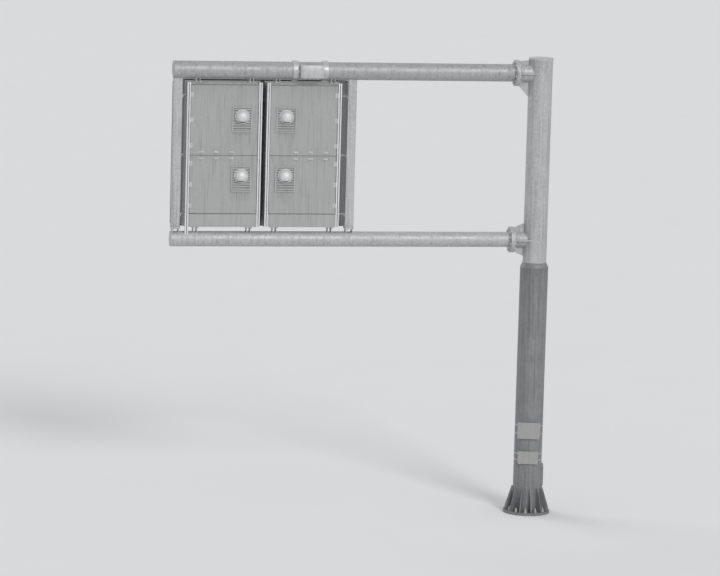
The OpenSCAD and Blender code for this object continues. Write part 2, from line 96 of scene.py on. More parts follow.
# Mast, base and access door
MAST_LOW_R = span("mast_lower", X)[1]
MAST_UP_R = span("mast_upper", X)[1]
REDUCER_Z = span("mast_reducer", Z)
CAP_SKIRT_R = span("mast_cap", X)[1]
CAP_SCREW_Z = 10.738
BASE_TOP = span("base_flange", Z)[1]
STUD_CIRCLE_R = 0.45
BOLT_ANGLES = around(12, 15)
GUSSET_ANGLES = around(12)
GUSSET_T = 0.02
GUSSET_NOTCH_R = 0.03
GUSSET_END = span("base_gussets", X)[1]
GUSSET_TOP = span("base_gussets", Z)[1]
ACCESS_Z, ACCESS_H = centred("access_door_frame", Z)
ACCESS_W = centred("access_door_frame", Y)[1]
ACCESS_CORNER = 0.09
ACCESS_FACE_X = round(span("access_door_frame", X)[0] - 0.006, 4)
LOCK_X = span("access_door", X)[0]
LOCK_Z = 1.06

# Booms, arms and their joints
LOWER_BOOM = tube("lower_boom")
UPPER_BOOM = tube("upper_boom")
ARMS = ((LOWER_BOOM, "lower_stub_gussets"), (UPPER_BOOM, "upper_stub_gussets"))
STUB_FACE_X = span("lower_stub_flange", X)[0]
BOOM_FACE_X, BOOM_END_X = span("lower_boom", X)
JOINT_CIRCLE_R = 0.255
HAUNCH_T = 0.025
HAUNCH_EDGE = span("lower_stub_gussets", Y)[1]
# Where a side plate's weld starts on the mast's flank, as a share of the mast's radius
SIDE_PLATE_START = 0.35

# Cabinets, posts and brackets
CABINETS = (span("inner_cabinet", X), span("outer_cabinet", X))
CABINET_Z = span("inner_cabinet", Z)
CABINET_Y = (span("inner_cabinet", Y)[0], span("corner_rails", Y)[0])
SIGN_X = round((CABINETS[0][0] + CABINETS[1][1]) / 2, 4)
RAIL_W = 0.08
POSTS = (centred("inner_post", X), centred("tip_post", X))
POST_DEPTH = 0.15
POST_CORNER = 0.02
POST_FOOT_Z = span("inner_post", Z)[0]
POST_PLATE_T = 0.02
STOOL_IN = 0.03
FOOT_X = (inside(CABINETS[0], 0.2)[0], inside(CABINETS[0], 0.25)[1], *inside(CABINETS[1], 0.25))
FOOT_WEB_X = 0.04
FOOT_T = 0.015
BRACKET_X = ((span("inner_post", X)[1], CABINETS[0][0]), (CABINETS[1][1], span("tip_post", X)[0]))
BRACKET_Z = sorted([*inside(CABINET_Z, 0.3), centred("inner_cabinet", Z)[0]])

# Doors and ventilators
DOOR_FACE_Y = span("inner_upper_door", Y)[1]
DOOR_SPANS = (span("inner_lower_door", Z), span("inner_upper_door", Z))
DOOR_GAP = 0.01
DOOR_LINE_Z = round((DOOR_SPANS[0][1] + DOOR_SPANS[1][0]) / 2, 4)
PLINTH_TOP = round(DOOR_SPANS[0][0] - 0.015, 4)
FITTING_Y = DOOR_FACE_Y + 0.006
HINGE_X = ((span("inner_upper_door", X)[0], 1), (span("outer_upper_door", X)[1], -1))
HINGE_Z = [round((low + high) / 2 + share * (high - low + DOOR_GAP), 4)
           for low, high in DOOR_SPANS for share in (-0.36, 0.0, 0.36)]
LATCH_X = [round(SIGN_X + side, 4) for side in (-1.45, -1.10, -0.75, 0.75, 1.10, 1.45)]
LATCH_Z = (DOOR_LINE_Z - 0.075, DOOR_LINE_Z + 0.075)
VENT_X = 0.515
VENT_Z = (9.28, 7.91)
VENT_W = 0.47
VENT_H = 0.59
VENTS = [(SIGN_X + side * VENT_X, z) for side in (-1, 1) for z in VENT_Z]
COWL_UP = 0.07
COWL_Y = span("vent_louvres", Y)[1]
COWL_R = 0.15
COWL_T = 0.006
MOUTH_LOW = -0.102
MOUTH_OUT = 0.0155

# Board, displays and lanterns
BOARD_X = span("front_board", X)
BOARD_Y = span("front_board", Y)[0]
BOARD_Z = span("front_board", Z)
BOARD_CORNER = 0.08
VISOR_X = span("display_visor", X)
VISOR_Z = span("display_visor", Z)
DISPLAYS = [(name, centred(name + "_display", X)[0]) for name in ("inner", "outer")]
DISPLAY_Z = centred("inner_display", Z)[0]
DISPLAY_FACE_Y = round(span("inner_display", Y)[0] + 0.01, 4)
LANTERNS = [(x, z) for x in inside(BOARD_X, 0.21) for z in inside(BOARD_Z, 0.21)]
LENS_Y = round(BOARD_Y - 0.04, 4)

# Cable box and marker plates
CLAMP_X = inside(span("junction_box", X), 0.065)
CABLE_BOX_X = inside(span("junction_box", X), 0.155)
CABLE_BOX_Y = span("junction_box", Y)[1]
CABLE_BOX_Z = (round(UPPER_BOOM[0] - 0.15, 4), round(UPPER_BOOM[0] + 0.15, 4))
PLATES = ((2.005, 0.53, 0.39), (1.36, 0.48, 0.30))
PLATE_Y = 0.369
PLATE_TURN = Matrix.Rotation(math.radians(-13), 4, "Z")
STRAP_TURN = Matrix.Rotation(math.radians(205), 4, "Z")

# How far a fitting sinks into the face it sits on, and how far apart the points of a bead are
SEAT = 0.0004
PATH_STEP = 0.012


class GantryFinishes(bpy.types.PropertyGroup):
    """Colours of the finishes, as linear values."""

    zinc: FloatVectorProperty(
        name="Galvanised steel", description="Dull hot-dip zinc of the booms and the upper mast",
        default=(0.450, 0.456, 0.460), min=0.0, max=1.0, subtype="COLOR")
    aged_zinc: FloatVectorProperty(
        name="Weathered steel", description="Darker zinc of the lower mast and its base",
        default=(0.215, 0.219, 0.222), min=0.0, max=1.0, subtype="COLOR")
    bright_zinc: FloatVectorProperty(
        name="Bright zinc", description="Newer zinc of the mast cap and the bolts",
        default=(0.520, 0.527, 0.530), min=0.0, max=1.0, subtype="COLOR")
    sheet: FloatVectorProperty(
        name="Cabinet sheet", description="Light grey coating of the cabinets",
        default=(0.385, 0.390, 0.385), min=0.0, max=1.0, subtype="COLOR")
    door: FloatVectorProperty(
        name="Door sheet", description="Light grey coating of the doors",
        default=(0.370, 0.375, 0.370), min=0.0, max=1.0, subtype="COLOR")
    rail: FloatVectorProperty(
        name="Rail", description="Plain extruded aluminium of the upright channels",
        default=(0.720, 0.727, 0.730), min=0.0, max=1.0, subtype="COLOR")
    spun: FloatVectorProperty(
        name="Spun cowl", description="Satin spun aluminium of the ventilator cowls",
        default=(0.740, 0.746, 0.748), min=0.0, max=1.0, subtype="COLOR")
    louvre: FloatVectorProperty(
        name="Louvre", description="Grey coating of the louvre blades",
        default=(0.410, 0.415, 0.410), min=0.0, max=1.0, subtype="COLOR")
    stainless: FloatVectorProperty(
        name="Stainless fittings", description="Hinges, latches and straps",
        default=(0.600, 0.595, 0.585), min=0.0, max=1.0, subtype="COLOR")
    black: FloatVectorProperty(
        name="Matt black", description="Front of the board and the visor",
        default=(0.016, 0.016, 0.018), min=0.0, max=1.0, subtype="COLOR")
    board_rear: FloatVectorProperty(
        name="Board rear", description="Grey rear side of the front board",
        default=(0.450, 0.453, 0.455), min=0.0, max=1.0, subtype="COLOR")
    pixel: FloatVectorProperty(
        name="Display lens", description="Smoky lenses of the displays",
        default=(0.160, 0.150, 0.120), min=0.0, max=1.0, subtype="COLOR")
    amber: FloatVectorProperty(
        name="Amber lens", description="Lenses of the warning lanterns",
        default=(0.640, 0.200, 0.012), min=0.0, max=1.0, subtype="COLOR")
    marker: FloatVectorProperty(
        name="Marker plate", description="Blank retroreflective sheet of the mast plates",
        default=(0.370, 0.370, 0.358), min=0.0, max=1.0, subtype="COLOR")
    rubber: FloatVectorProperty(
        name="Rubber", description="Door seals",
        default=(0.050, 0.050, 0.051), min=0.0, max=1.0, subtype="COLOR")
    grime: FloatVectorProperty(
        name="Grime", description="Road dirt that rain leaves in streaks",
        default=(0.075, 0.070, 0.060), min=0.0, max=1.0, subtype="COLOR")
    chalk: FloatVectorProperty(
        name="Zinc bloom", description="Pale bloom on old zinc",
        default=(0.560, 0.570, 0.575), min=0.0, max=1.0, subtype="COLOR")


class GantryFasteners(bpy.types.PropertyGroup):
    """Sizes of the bolts, rivets and welds."""

    stud_d: FloatProperty(
        name="Stud", description="Diameter of the holding-down studs",
        default=0.039, min=0.024, max=0.041, unit="LENGTH")
    stud_nut: FloatProperty(
        name="Stud nut", description="Width across flats of the holding-down nuts",
        default=0.060, min=0.036, max=0.065, unit="LENGTH")
    joint_d: FloatProperty(
        name="Joint bolt", description="Diameter of the boom joint bolts",
        default=0.030, min=0.020, max=0.032, unit="LENGTH")
    joint_nut: FloatProperty(
        name="Joint nut", description="Width across flats of the boom joint nuts",
        default=0.046, min=0.030, max=0.050, unit="LENGTH")
    bracket_d: FloatProperty(
        name="Bracket bolt", description="Diameter of the bracket bolts",
        default=0.016, min=0.010, max=0.020, unit="LENGTH")
    bracket_nut: FloatProperty(
        name="Bracket nut", description="Width across flats of the bracket nuts",
        default=0.024, min=0.016, max=0.030, unit="LENGTH")
    screw_d: FloatProperty(
        name="Screw head", description="Diameter of the pan head screws",
        default=0.014, min=0.008, max=0.018, unit="LENGTH")
    rivet_d: FloatProperty(
        name="Rivet head", description="Diameter of the blind rivet heads",
        default=0.012, min=0.006, max=0.016, unit="LENGTH")
    rivet_pitch: FloatProperty(
        name="Rivet spacing", description="Distance between neighbouring rivets",
        default=0.15, min=0.08, max=0.30, unit="LENGTH")
    weld_leg: FloatProperty(
        name="Weld", description="Leg of the large fillet welds",
        default=0.011, min=0.004, max=0.016, unit="LENGTH")


class GantryDisplay(bpy.types.PropertyGroup):
    """Sizes of the display's lens field."""

    lens_pitch: FloatProperty(
        name="Lens spacing", description="Distance between neighbouring lenses",
        default=0.026, min=0.02, max=0.03, unit="LENGTH")
    lens_d: FloatProperty(
        name="Lens", description="Diameter of one lens",
        default=0.014, min=0.008, max=0.018, unit="LENGTH")
    columns: IntProperty(
        name="Columns", description="Lenses across one display", default=54, min=8, max=54)
    rows: IntProperty(
        name="Rows", description="Lenses up one display", default=90, min=8, max=92)


class GantryStage(bpy.types.PropertyGroup):
    """Camera, lamps and floor."""

    camera_at: FloatVectorProperty(
        name="Camera place", description="Where the camera stands, behind and above the gantry",
        default=(21.44, 88.74, 18.2), subtype="TRANSLATION")
    look_at: FloatVectorProperty(
        name="Camera aim", description="The place in the middle of the picture",
        default=(4.15, 0.0, 5.35), subtype="TRANSLATION")
    focal: FloatProperty(
        name="Focal length", description="Focal length of the camera in millimetres",
        default=196.0, min=50.0, max=400.0)
    sun: FloatProperty(
        name="Main light", description="Strength of the main light", default=1.3, min=0.0, max=5.0)
    fill: FloatProperty(
        name="Fill light", description="Strength of the fill light", default=0.7, min=0.0, max=5.0)
    sky: FloatProperty(
        name="Sky light", description="Strength of the light from all round",
        default=0.54, min=0.0, max=2.0)
    floor_size: FloatProperty(
        name="Floor", description="Half the width of the floor",
        default=600.0, min=50.0, max=900.0, unit="LENGTH")


# Mesh helpers

def split_sharp(bm, angle):
    """Let smooth shading stop at every edge sharper than the angle."""
    for edge in bm.edges:
        edge.smooth = len(edge.link_faces) == 2 and edge.calc_face_angle(math.pi) < math.radians(angle)


def to_piece(name, bm, material):
    """Write a bmesh to a named piece that rides with the gantry."""
    mesh = bpy.data.meshes.new(name)
    bm.to_mesh(mesh)
    bm.free()
    mesh.materials.append(material)
    piece = bpy.data.objects.new(name, mesh)
    bpy.context.scene.collection.objects.link(piece)
    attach(piece, "root")
    return piece


def make_piece(name, bm, material, angle=35.0, recalc=True):
    """Turn a new bmesh into a piece, smooth up to the angle."""
    if not bm.faces:
        raise RuntimeError(name + " has no faces")
    if recalc:
        bmesh.ops.recalc_face_normals(bm, faces=bm.faces[:])
    for face in bm.faces:
        face.smooth = True
    split_sharp(bm, angle)
    return to_piece(name, bm, material)


def soften(node, width, material, keep=None, segments=3):
    """A copy of a CAD node with its sharp edges rounded, which stands for that node."""
    bm = bmesh.new()
    bm.from_mesh(NODES[node].data)
    bmesh.ops.remove_doubles(bm, verts=bm.verts[:], dist=2e-5)
    bmesh.ops.dissolve_limit(bm, angle_limit=math.radians(0.4), verts=bm.verts[:], edges=bm.edges[:])
    inner = [edge for edge in bm.edges if len(edge.link_faces) == 2]
    curved = {face for edge in inner
              if math.radians(0.6) < edge.calc_face_angle(0.0) < math.radians(30)
              for face in edge.link_faces}
    for face in bm.faces:
        face.smooth = face in curved
    sharp = [edge for edge in inner
             if edge.calc_face_angle(0.0) > math.radians(50) and (keep is None or keep(edge))]
    made = bmesh.ops.bevel(bm, geom=sharp, offset=width, segments=segments, profile=0.5,
                           affect="EDGES", clamp_overlap=True, material=-1)
    for face in made["faces"]:
        face.smooth = True
    split_sharp(bm, 40)
    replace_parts(to_piece(node + "_rounded", bm, material), node)


def paint(material, *nodes):
    """Give CAD nodes their finish."""
    for node in nodes:
        NODES[node].data.materials.clear()
        NODES[node].data.materials.append(material)


def template(bm):
    """Close a bmesh into a mesh that can be stamped many times."""
    bmesh.ops.recalc_face_normals(bm, faces=bm.faces[:])
    mesh = bpy.data.meshes.new("template")
    bm.to_mesh(mesh)
    bm.free()
    return mesh


def stamp(bm, mesh, matrix):
    """Add a mesh to a bmesh at a place."""
    copy = mesh.copy()
    copy.transform(matrix)
    bm.from_mesh(copy)
    bpy.data.meshes.remove(copy)


def place(at, direction, spin=0.0):
    """The matrix that stands a shape drawn along +Z at a point, along a direction."""
    turn = Vector(direction).to_track_quat("Z", "Y").to_matrix().to_4x4()
    return Matrix.Translation(at) @ turn @ Matrix.Rotation(spin, 4, "Z")


def repeat(piece, label, count, step):
    """Repeat a piece in a row, a step apart."""
    array = piece.modifiers.new(label, "ARRAY")
    array.use_relative_offset = False
    array.use_constant_offset = True
    array.constant_offset_displace = step
    array.count = count


def disc(bm, radius, low, high, segments=24, top=None):
    """A round plate along Z; top is its upper radius."""
    upper = radius if top is None else top
    bmesh.ops.create_cone(
        bm, cap_ends=True, segments=segments, radius1=radius, radius2=upper, depth=high - low,
        matrix=Matrix.Translation((0, 0, (low + high) / 2)))


def block(bm, low, high, bevel=0.0):
    """A box between two corners, with its edges taken off."""
    size = Vector(high) - Vector(low)
    middle = (Vector(high) + Vector(low)) / 2
    scale = Matrix.Diagonal((*size, 1.0))
    made = bmesh.ops.create_cube(bm, size=1.0, matrix=Matrix.Translation(middle) @ scale)
    if bevel:
        edges = dict.fromkeys(edge for vert in made["verts"] for edge in vert.link_edges)
        bmesh.ops.bevel(bm, geom=list(edges), offset=bevel, segments=2, profile=0.5,
                        affect="EDGES", material=-1)


def skin(bm, rings, closed):
    """Join each ring of vertices to the next, where a lone vertex is a tip.

    Made face by face, because Blender's spin and extrude order a mesh anew on each run.
    """
    count = max(len(ring) for ring in rings)
    for low, high in zip(rings, rings[1:] + rings[:1] if closed else rings[1:]):
        for i in range(count):
            j = (i + 1) % count
            corners = dict.fromkeys((low[i % len(low)], low[j % len(low)],
                                     high[j % len(high)], high[i % len(high)]))
            if len(corners) > 2:
                bm.faces.new(list(corners))


def lathe(bm, points, segments, first=0.0):
    """Turn a profile of (radius, height) points round Z; it may end where it starts."""
    closed = points[0] == points[-1]
    rings = []
    for radius, height in points[:-1] if closed else points:
        turns = around(segments, first) if radius else [0.0]
        rings.append([bm.verts.new((radius * math.cos(turn), radius * math.sin(turn), height))
                      for turn in turns])
    skin(bm, rings, closed)
    return rings


def hexagon(bm, across, low, high):
    """A hexagonal prism along Z with its upper corners taken off."""
    radius, chamfer = across / math.sqrt(3), (high - low) * 0.14
    rings = lathe(bm, [(radius, low), (radius, high - chamfer),
                       (radius - chamfer * 2 / math.sqrt(3), high)], 6, first=30)
    bm.faces.new(rings[0])
    bm.faces.new(rings[-1])


def threaded(bm, radius, low, high, pitch):
    """The end of a threaded rod along Z, with a chamfered tip."""
    points = [(0.0, low)]
    height = low
    while height + pitch < high - pitch:
        points += [(radius * 0.90, height), (radius, height + pitch / 2)]
        height += pitch
    points += [(radius * 0.90, height), (radius, height + pitch / 2), (radius * 0.78, high),
               (0.0, high)]
    lathe(bm, points, 16)


def nut_set(across, thick, rod, beyond, washer, lock=0.0):
    """Washer, nut, optional lock nut and the rod's end, along +Z from a bearing face."""
    bm = bmesh.new()
    washer_t = rod * 0.16
    disc(bm, washer, 0.0, washer_t)
    top = washer_t - SEAT + thick
    hexagon(bm, across, washer_t - SEAT, top)
    if lock:
        hexagon(bm, across, top - SEAT, top + lock)
        top += lock
    threaded(bm, rod / 2, top - 0.001, top + beyond, rod / 7)
    return template(bm)


def head_set(across, thick, washer, washer_t):
    """Washer and hexagon head, along +Z from a bearing face."""
    bm = bmesh.new()
    disc(bm, washer, 0.0, washer_t)
    hexagon(bm, across, washer_t - SEAT, washer_t + thick)
    return template(bm)


def dome_head(diameter, height, segments=10):
    """A low round head, as on a rivet or a pan head screw."""
    radius = diameter / 2
    bm = bmesh.new()
    lathe(bm, [(0.0, -SEAT), (radius, -SEAT), (radius, height * 0.35),
               (radius * 0.72, height * 0.85), (radius * 0.25, height), (0.0, height)], segments)
    return template(bm)


def socket_head(diameter, height):
    """A pan head screw with a round recess."""
    radius = diameter / 2
    bm = bmesh.new()
    bmesh.ops.create_cone(bm, cap_ends=True, segments=18, radius1=radius, radius2=radius * 0.8,
                          depth=height, matrix=Matrix.Translation((0, 0, height / 2)))
    top = max(bm.faces, key=lambda face: face.calc_center_median().z)
    bmesh.ops.inset_region(bm, faces=[top], thickness=radius * 0.36, use_boundary=True,
                           use_even_offset=True)
    bmesh.ops.translate(bm, verts=top.verts[:], vec=(0, 0, -height * 0.5))
    return template(bm)


def line(start, end):
    """Evenly spaced points from start to end."""
    a, b = Vector(start), Vector(end)
    count = max(2, round((b - a).length / PATH_STEP))
    return [a.lerp(b, i / count) for i in range(count + 1)]


def ring(centre, radius, axis, start=0.0, end=math.tau):
    """Points round a circle or part of one, from +X where the axis is upright."""
    turn = Vector(UP).rotation_difference(Vector(axis)).to_matrix()
    count = max(8, round(abs(end - start) * radius / PATH_STEP))
    whole = abs(end - start) > math.tau - 1e-6
    steps = range(count if whole else count + 1)
    angles = [start + (end - start) * i / count for i in steps]
    return [Vector(centre) + turn @ Vector((radius * math.cos(a), radius * math.sin(a), 0))
            for a in angles]


def arc(radius, start, sweep, count=40):
    """Points of an arc in a plane, with its angles in degrees."""
    angles = [math.radians(start + sweep * i / count) for i in range(count + 1)]
    return [(radius * math.cos(a), radius * math.sin(a)) for a in angles]


def rounded(width, height, corner):
    """Points round a rectangle with round corners, as (across, up) pairs."""
    points = []
    for sx, sz, first in ((1, 1, 0), (-1, 1, 90), (-1, -1, 180), (1, -1, 270)):
        middle = (sx * (width / 2 - corner), sz * (height / 2 - corner))
        count = max(3, round(corner * math.pi / 2 / PATH_STEP))
        points += [(middle[0] + across, middle[1] + up) for across, up in arc(corner, first, 90, count)]
    full = []
    for here, there in zip(points, points[1:] + points[:1]):
        count = max(1, round(math.dist(here, there) / PATH_STEP))
        full += [(here[0] + (there[0] - here[0]) * i / count,
                  here[1] + (there[1] - here[1]) * i / count) for i in range(count)]
    return full


def four(across, up):
    """The four places about a middle, as (across, up) pairs."""
    return [(sx * across, sz * up) for sx in (-1, 1) for sz in (-1, 1)]


def runs(ends, pitch):
    """Evenly spaced places between two ends, about a pitch apart."""
    low, high = ends
    count = max(1, round((high - low) / pitch))
    return [low + (high - low) * i / count for i in range(count + 1)]


def bead(bm, points, radius, closed=False, ripple=0.13):
    """A round bead along a path; ripple is how much its thickness swells from drop to drop."""
    curve = bpy.data.curves.new("bead_path", "CURVE")
    curve.dimensions = "3D"
    curve.bevel_depth = radius
    curve.bevel_resolution = 1
    curve.use_fill_caps = True
    spline = curve.splines.new("POLY")
    spline.points.add(len(points) - 1)
    for i, point in enumerate(points):
        spline.points[i].co = (*point, 1.0)
        spline.points[i].radius = 1.0 + ripple * (math.sin(i * 2.4) + 0.4 * math.sin(i * 0.9 + 1.0))
    spline.use_cyclic_u = closed
    holder = bpy.data.objects.new("bead_path", curve)
    mesh = bpy.data.meshes.new_from_object(holder)
    whole = bmesh.new()
    whole.from_mesh(mesh)
    bmesh.ops.remove_doubles(whole, verts=whole.verts[:], dist=1e-6)
    whole.to_mesh(mesh)
    whole.free()
    bm.from_mesh(mesh)
    bpy.data.objects.remove(holder)
    bpy.data.curves.remove(curve)
    bpy.data.meshes.remove(mesh)


# Material helpers

def feed(tree, node, inputs):
    """Set a node's inputs, each to a number, a colour or the socket of another node."""
    for key, value in inputs.items():
        if isinstance(value, bpy.types.NodeSocket):
            tree.links.new(value, node.inputs[key])
        else:
            node.inputs[key].default_value = value


def add(tree, kind, inputs=None, **settings):
    """Add a shader node with its settings and inputs."""
    node = tree.nodes.new(kind)
    for key, value in settings.items():
        setattr(node, key, value)
    feed(tree, node, inputs or {})
    return node


def math_node(tree, operation, *values, clamp=False):
    """The result of a Math node."""
    return add(tree, "ShaderNodeMath", dict(enumerate(values)), operation=operation,
               use_clamp=clamp).outputs[0]


def remap(tree, value, low, high):
    """Stretch a value from a range to 0 to 1, and clamp it."""
    node = add(tree, "ShaderNodeMapRange", {"Value": value, "From Min": low, "From Max": high})
    return node.outputs["Result"]


def mix_colour(tree, factor, first, second):
    """Blend two colours."""
    return add(tree, "ShaderNodeMix", {0: factor, 6: first, 7: second}, data_type="RGBA").outputs[2]


def parts(tree, vector):
    """The three parts of a vector."""
    return add(tree, "ShaderNodeSeparateXYZ", {0: vector}).outputs


def scaled(tree, vector, factors):
    """A vector times three factors."""
    return add(tree, "ShaderNodeVectorMath", {0: vector, 1: factors}, operation="MULTIPLY").outputs[0]


def noise(tree, vector, scale, detail, roughness=0.5):
    """Soft noise."""
    return add(tree, "ShaderNodeTexNoise", {
        "Vector": vector, "Scale": scale, "Detail": detail, "Roughness": roughness}).outputs[0]


def threads(tree, vector, spacing, pull, detail, roughness):
    """Noise drawn out into upright threads."""
    across = math_node(tree, "DIVIDE", 1.0, spacing)
    factors = add(tree, "ShaderNodeCombineXYZ", {X: across, Y: across, Z: pull}).outputs[0]
    return noise(tree, scaled(tree, vector, factors), 1.0, detail, roughness)


def new_group(name, output, **sizes):
    """A node group that reads a place and named sizes; gives its tree, its inputs and its output."""
    tree = bpy.data.node_groups.new(name, "ShaderNodeTree")
    tree.interface.new_socket("Vector", in_out="INPUT", socket_type="NodeSocketVector")
    for label, value in sizes.items():
        socket = tree.interface.new_socket(label, in_out="INPUT", socket_type="NodeSocketFloat")
        socket.default_value = value
    tree.interface.new_socket(output, in_out="OUTPUT", socket_type="NodeSocketFloat")
    start = tree.nodes.new("NodeGroupInput")
    end = tree.nodes.new("NodeGroupOutput")
    return tree, start.outputs, end.inputs[output]


def use_group(tree, name, where, **sizes):
    """What a node group gives at a place, for its named sizes."""
    node = add(tree, "ShaderNodeGroup", node_tree=bpy.data.node_groups[name])
    feed(tree, node, {"Vector": where, **sizes})
    return node.outputs[0]


def rgba(colour, factor=1.0):
    """A colour with full alpha, made lighter or darker."""
    return (*[min(1.0, part * factor) for part in colour], 1.0)


# Wear and grain that several finishes share

def zinc_spangle():
    """Two sizes of zinc crystal, each in its own shade."""
    tree, given, result = new_group("Zinc Spangle", "Shade", Size=0.016)
    scale = math_node(tree, "DIVIDE", 1.0, given["Size"])
    shades = []
    for size, channel in ((scale, 0), (math_node(tree, "MULTIPLY", scale, 2.7), 1)):
        cells = add(tree, "ShaderNodeTexVoronoi", {
            "Vector": given["Vector"], "Scale": size, "Randomness": 1.0}, feature="F1")
        split = add(tree, "ShaderNodeSeparateColor", {0: cells.outputs["Color"]})
        shades.append(split.outputs[channel])
    fine = math_node(tree, "MULTIPLY", shades[1], 0.35)
    tree.links.new(math_node(tree, "MULTIPLY_ADD", shades[0], 0.65, fine), result)


def cloudy_mottle():
    """Soft clouds with clear ground between them."""
    tree, given, result = new_group("Cloudy Mottle", "Mask", Scale=2.0)
    cloud = noise(tree, given["Vector"], given["Scale"], 5.0, 0.62)
    tree.links.new(remap(tree, cloud, 0.36, 0.64), result)


def rain_streaks():
    """Upright streaks that rain leaves on a wall."""
    tree, given, result = new_group("Rain Streaks", "Mask", Spacing=0.04, Length=1.4)
    pull = math_node(tree, "DIVIDE", 1.0, given["Length"])
    streak = threads(tree, given["Vector"], given["Spacing"], pull, 4.0, 0.55)
    tree.links.new(remap(tree, streak, 0.50, 0.74), result)


def run_off():
    """Threads of dirt that run down from a line and fade out over their reach."""
    tree, given, result = new_group("Run Off", "Mask", Line=0.0, Reach=0.5, Spacing=0.02)
    drop = math_node(tree, "SUBTRACT", given["Line"], parts(tree, given["Vector"])[Z])
    share = math_node(tree, "DIVIDE", drop, given["Reach"])
    below = math_node(tree, "GREATER_THAN", drop, 0.0)
    left = math_node(tree, "SUBTRACT", 1.0, share, clamp=True)
    fade = math_node(tree, "MULTIPLY", math_node(tree, "POWER", left, 1.6), below)
    thread = threads(tree, given["Vector"], given["Spacing"], 0.9, 3.0, 0.6)
    tree.links.new(math_node(tree, "MULTIPLY", remap(tree, thread, 0.38, 0.70), fade), result)


def fine_grain():
    """Fine skin of a coating or of zinc."""
    tree, given, result = new_group("Fine Grain", "Height", Size=0.004)
    scale = math_node(tree, "DIVIDE", 1.0, given["Size"])
    tree.links.new(noise(tree, given["Vector"], scale, 3.0), result)


def ground_splash():
    """Patches of splashed dirt that thin out with height."""
    tree, given, result = new_group("Ground Splash", "Mask", Height=0.7)
    share = math_node(tree, "DIVIDE", parts(tree, given["Vector"])[Z], given["Height"])
    low = math_node(tree, "SUBTRACT", 1.0, share, clamp=True)
    patches = noise(tree, given["Vector"], 9.0, 6.0, 0.7)
    spread = math_node(tree, "MULTIPLY_ADD", patches, 1.3, -0.35)
    tree.links.new(math_node(tree, "MULTIPLY", low, spread, clamp=True), result)


# Finishes

def new_material(name):
    """An empty material's tree, its shader and the Object coordinates."""
    material = bpy.data.materials.new(name)
    material.use_nodes = True
    tree = material.node_tree
    where = add(tree, "ShaderNodeTexCoord").outputs["Object"]
    return tree, tree.nodes["Principled BSDF"], where


def finish(name):
    """A finish that was built earlier."""
    return bpy.data.materials[name]


def lay(tree, colour, layers):
    """Lay tints over a colour, each through its mask and at its strength."""
    for mask, tint, strength in layers:
        factor = math_node(tree, "MULTIPLY", mask, strength, clamp=True)
        colour = mix_colour(tree, factor, colour, tint)
    return colour


def run_layers(tree, where, lines, spacing, grime, within=None):
    """Layers of dirt below some lines, each line as (height, reach, strength)."""
    layers = []
    for height, reach, strength in lines:
        mask = use_group(tree, "Run Off", where, Line=height, Reach=reach, Spacing=spacing)
        if within is not None:
            mask = math_node(tree, "MULTIPLY", mask, within)
        layers.append((mask, grime, strength))
    return layers


def set_bump(tree, shader, height, distance, strength):
    """Feed a height to the shader's normal."""
    bump = add(tree, "ShaderNodeBump", {
        "Height": height, "Distance": distance, "Strength": strength})
    tree.links.new(bump.outputs[0], shader.inputs["Normal"])


def zinc_material(name, colour, dark, bloom, grime, metallic, spangle=0.3, splash=0.0, streak=0.35,
                  run_lines=()):
    """Hot-dip zinc: spangle, cloudy bloom, rain streaks and dirt."""
    tree, shader, where = new_material(name)
    cells = use_group(tree, "Zinc Spangle", where, Size=0.017)
    mottle = use_group(tree, "Cloudy Mottle", where, Scale=2.3)
    patches = use_group(tree, "Cloudy Mottle", where, Scale=11.0)
    streaks = use_group(tree, "Rain Streaks", where, Spacing=0.045, Length=1.6)
    grain = use_group(tree, "Fine Grain", where, Size=0.005)
    shade = mix_colour(tree, cells, rgba(colour, 1.0 - spangle), rgba(colour, 1.0 + spangle))
    layers = [(mottle, bloom, 0.4), (patches, rgba(colour, dark), 0.2), (streaks, grime, streak)]
    if splash:
        layers.append((use_group(tree, "Ground Splash", where, Height=splash), grime, 0.66))
    layers += run_layers(tree, where, run_lines, 0.03, grime)
    dull = math_node(tree, "MULTIPLY_ADD", mottle, 0.14, 0.40)
    duller = math_node(tree, "MULTIPLY_ADD", streaks, 0.12, dull)
    feed(tree, shader, {
        "Base Color": lay(tree, shade, layers),
        "Roughness": math_node(tree, "MULTIPLY_ADD", cells, 0.08, duller), "Metallic": metallic})
    set_bump(tree, shader, grain, 0.0006, 0.35)


def under_vents(tree, where):
    """Mask of the two upright strips of door in which the ventilators sit."""
    across = parts(tree, where)[X]
    from_middle = math_node(tree, "ABSOLUTE", math_node(tree, "SUBTRACT", across, SIGN_X))
    from_vent = math_node(tree, "ABSOLUTE", math_node(tree, "SUBTRACT", from_middle, VENT_X))
    return remap(tree, from_vent, VENT_W / 2 + 0.01, VENT_W / 2 - 0.07)


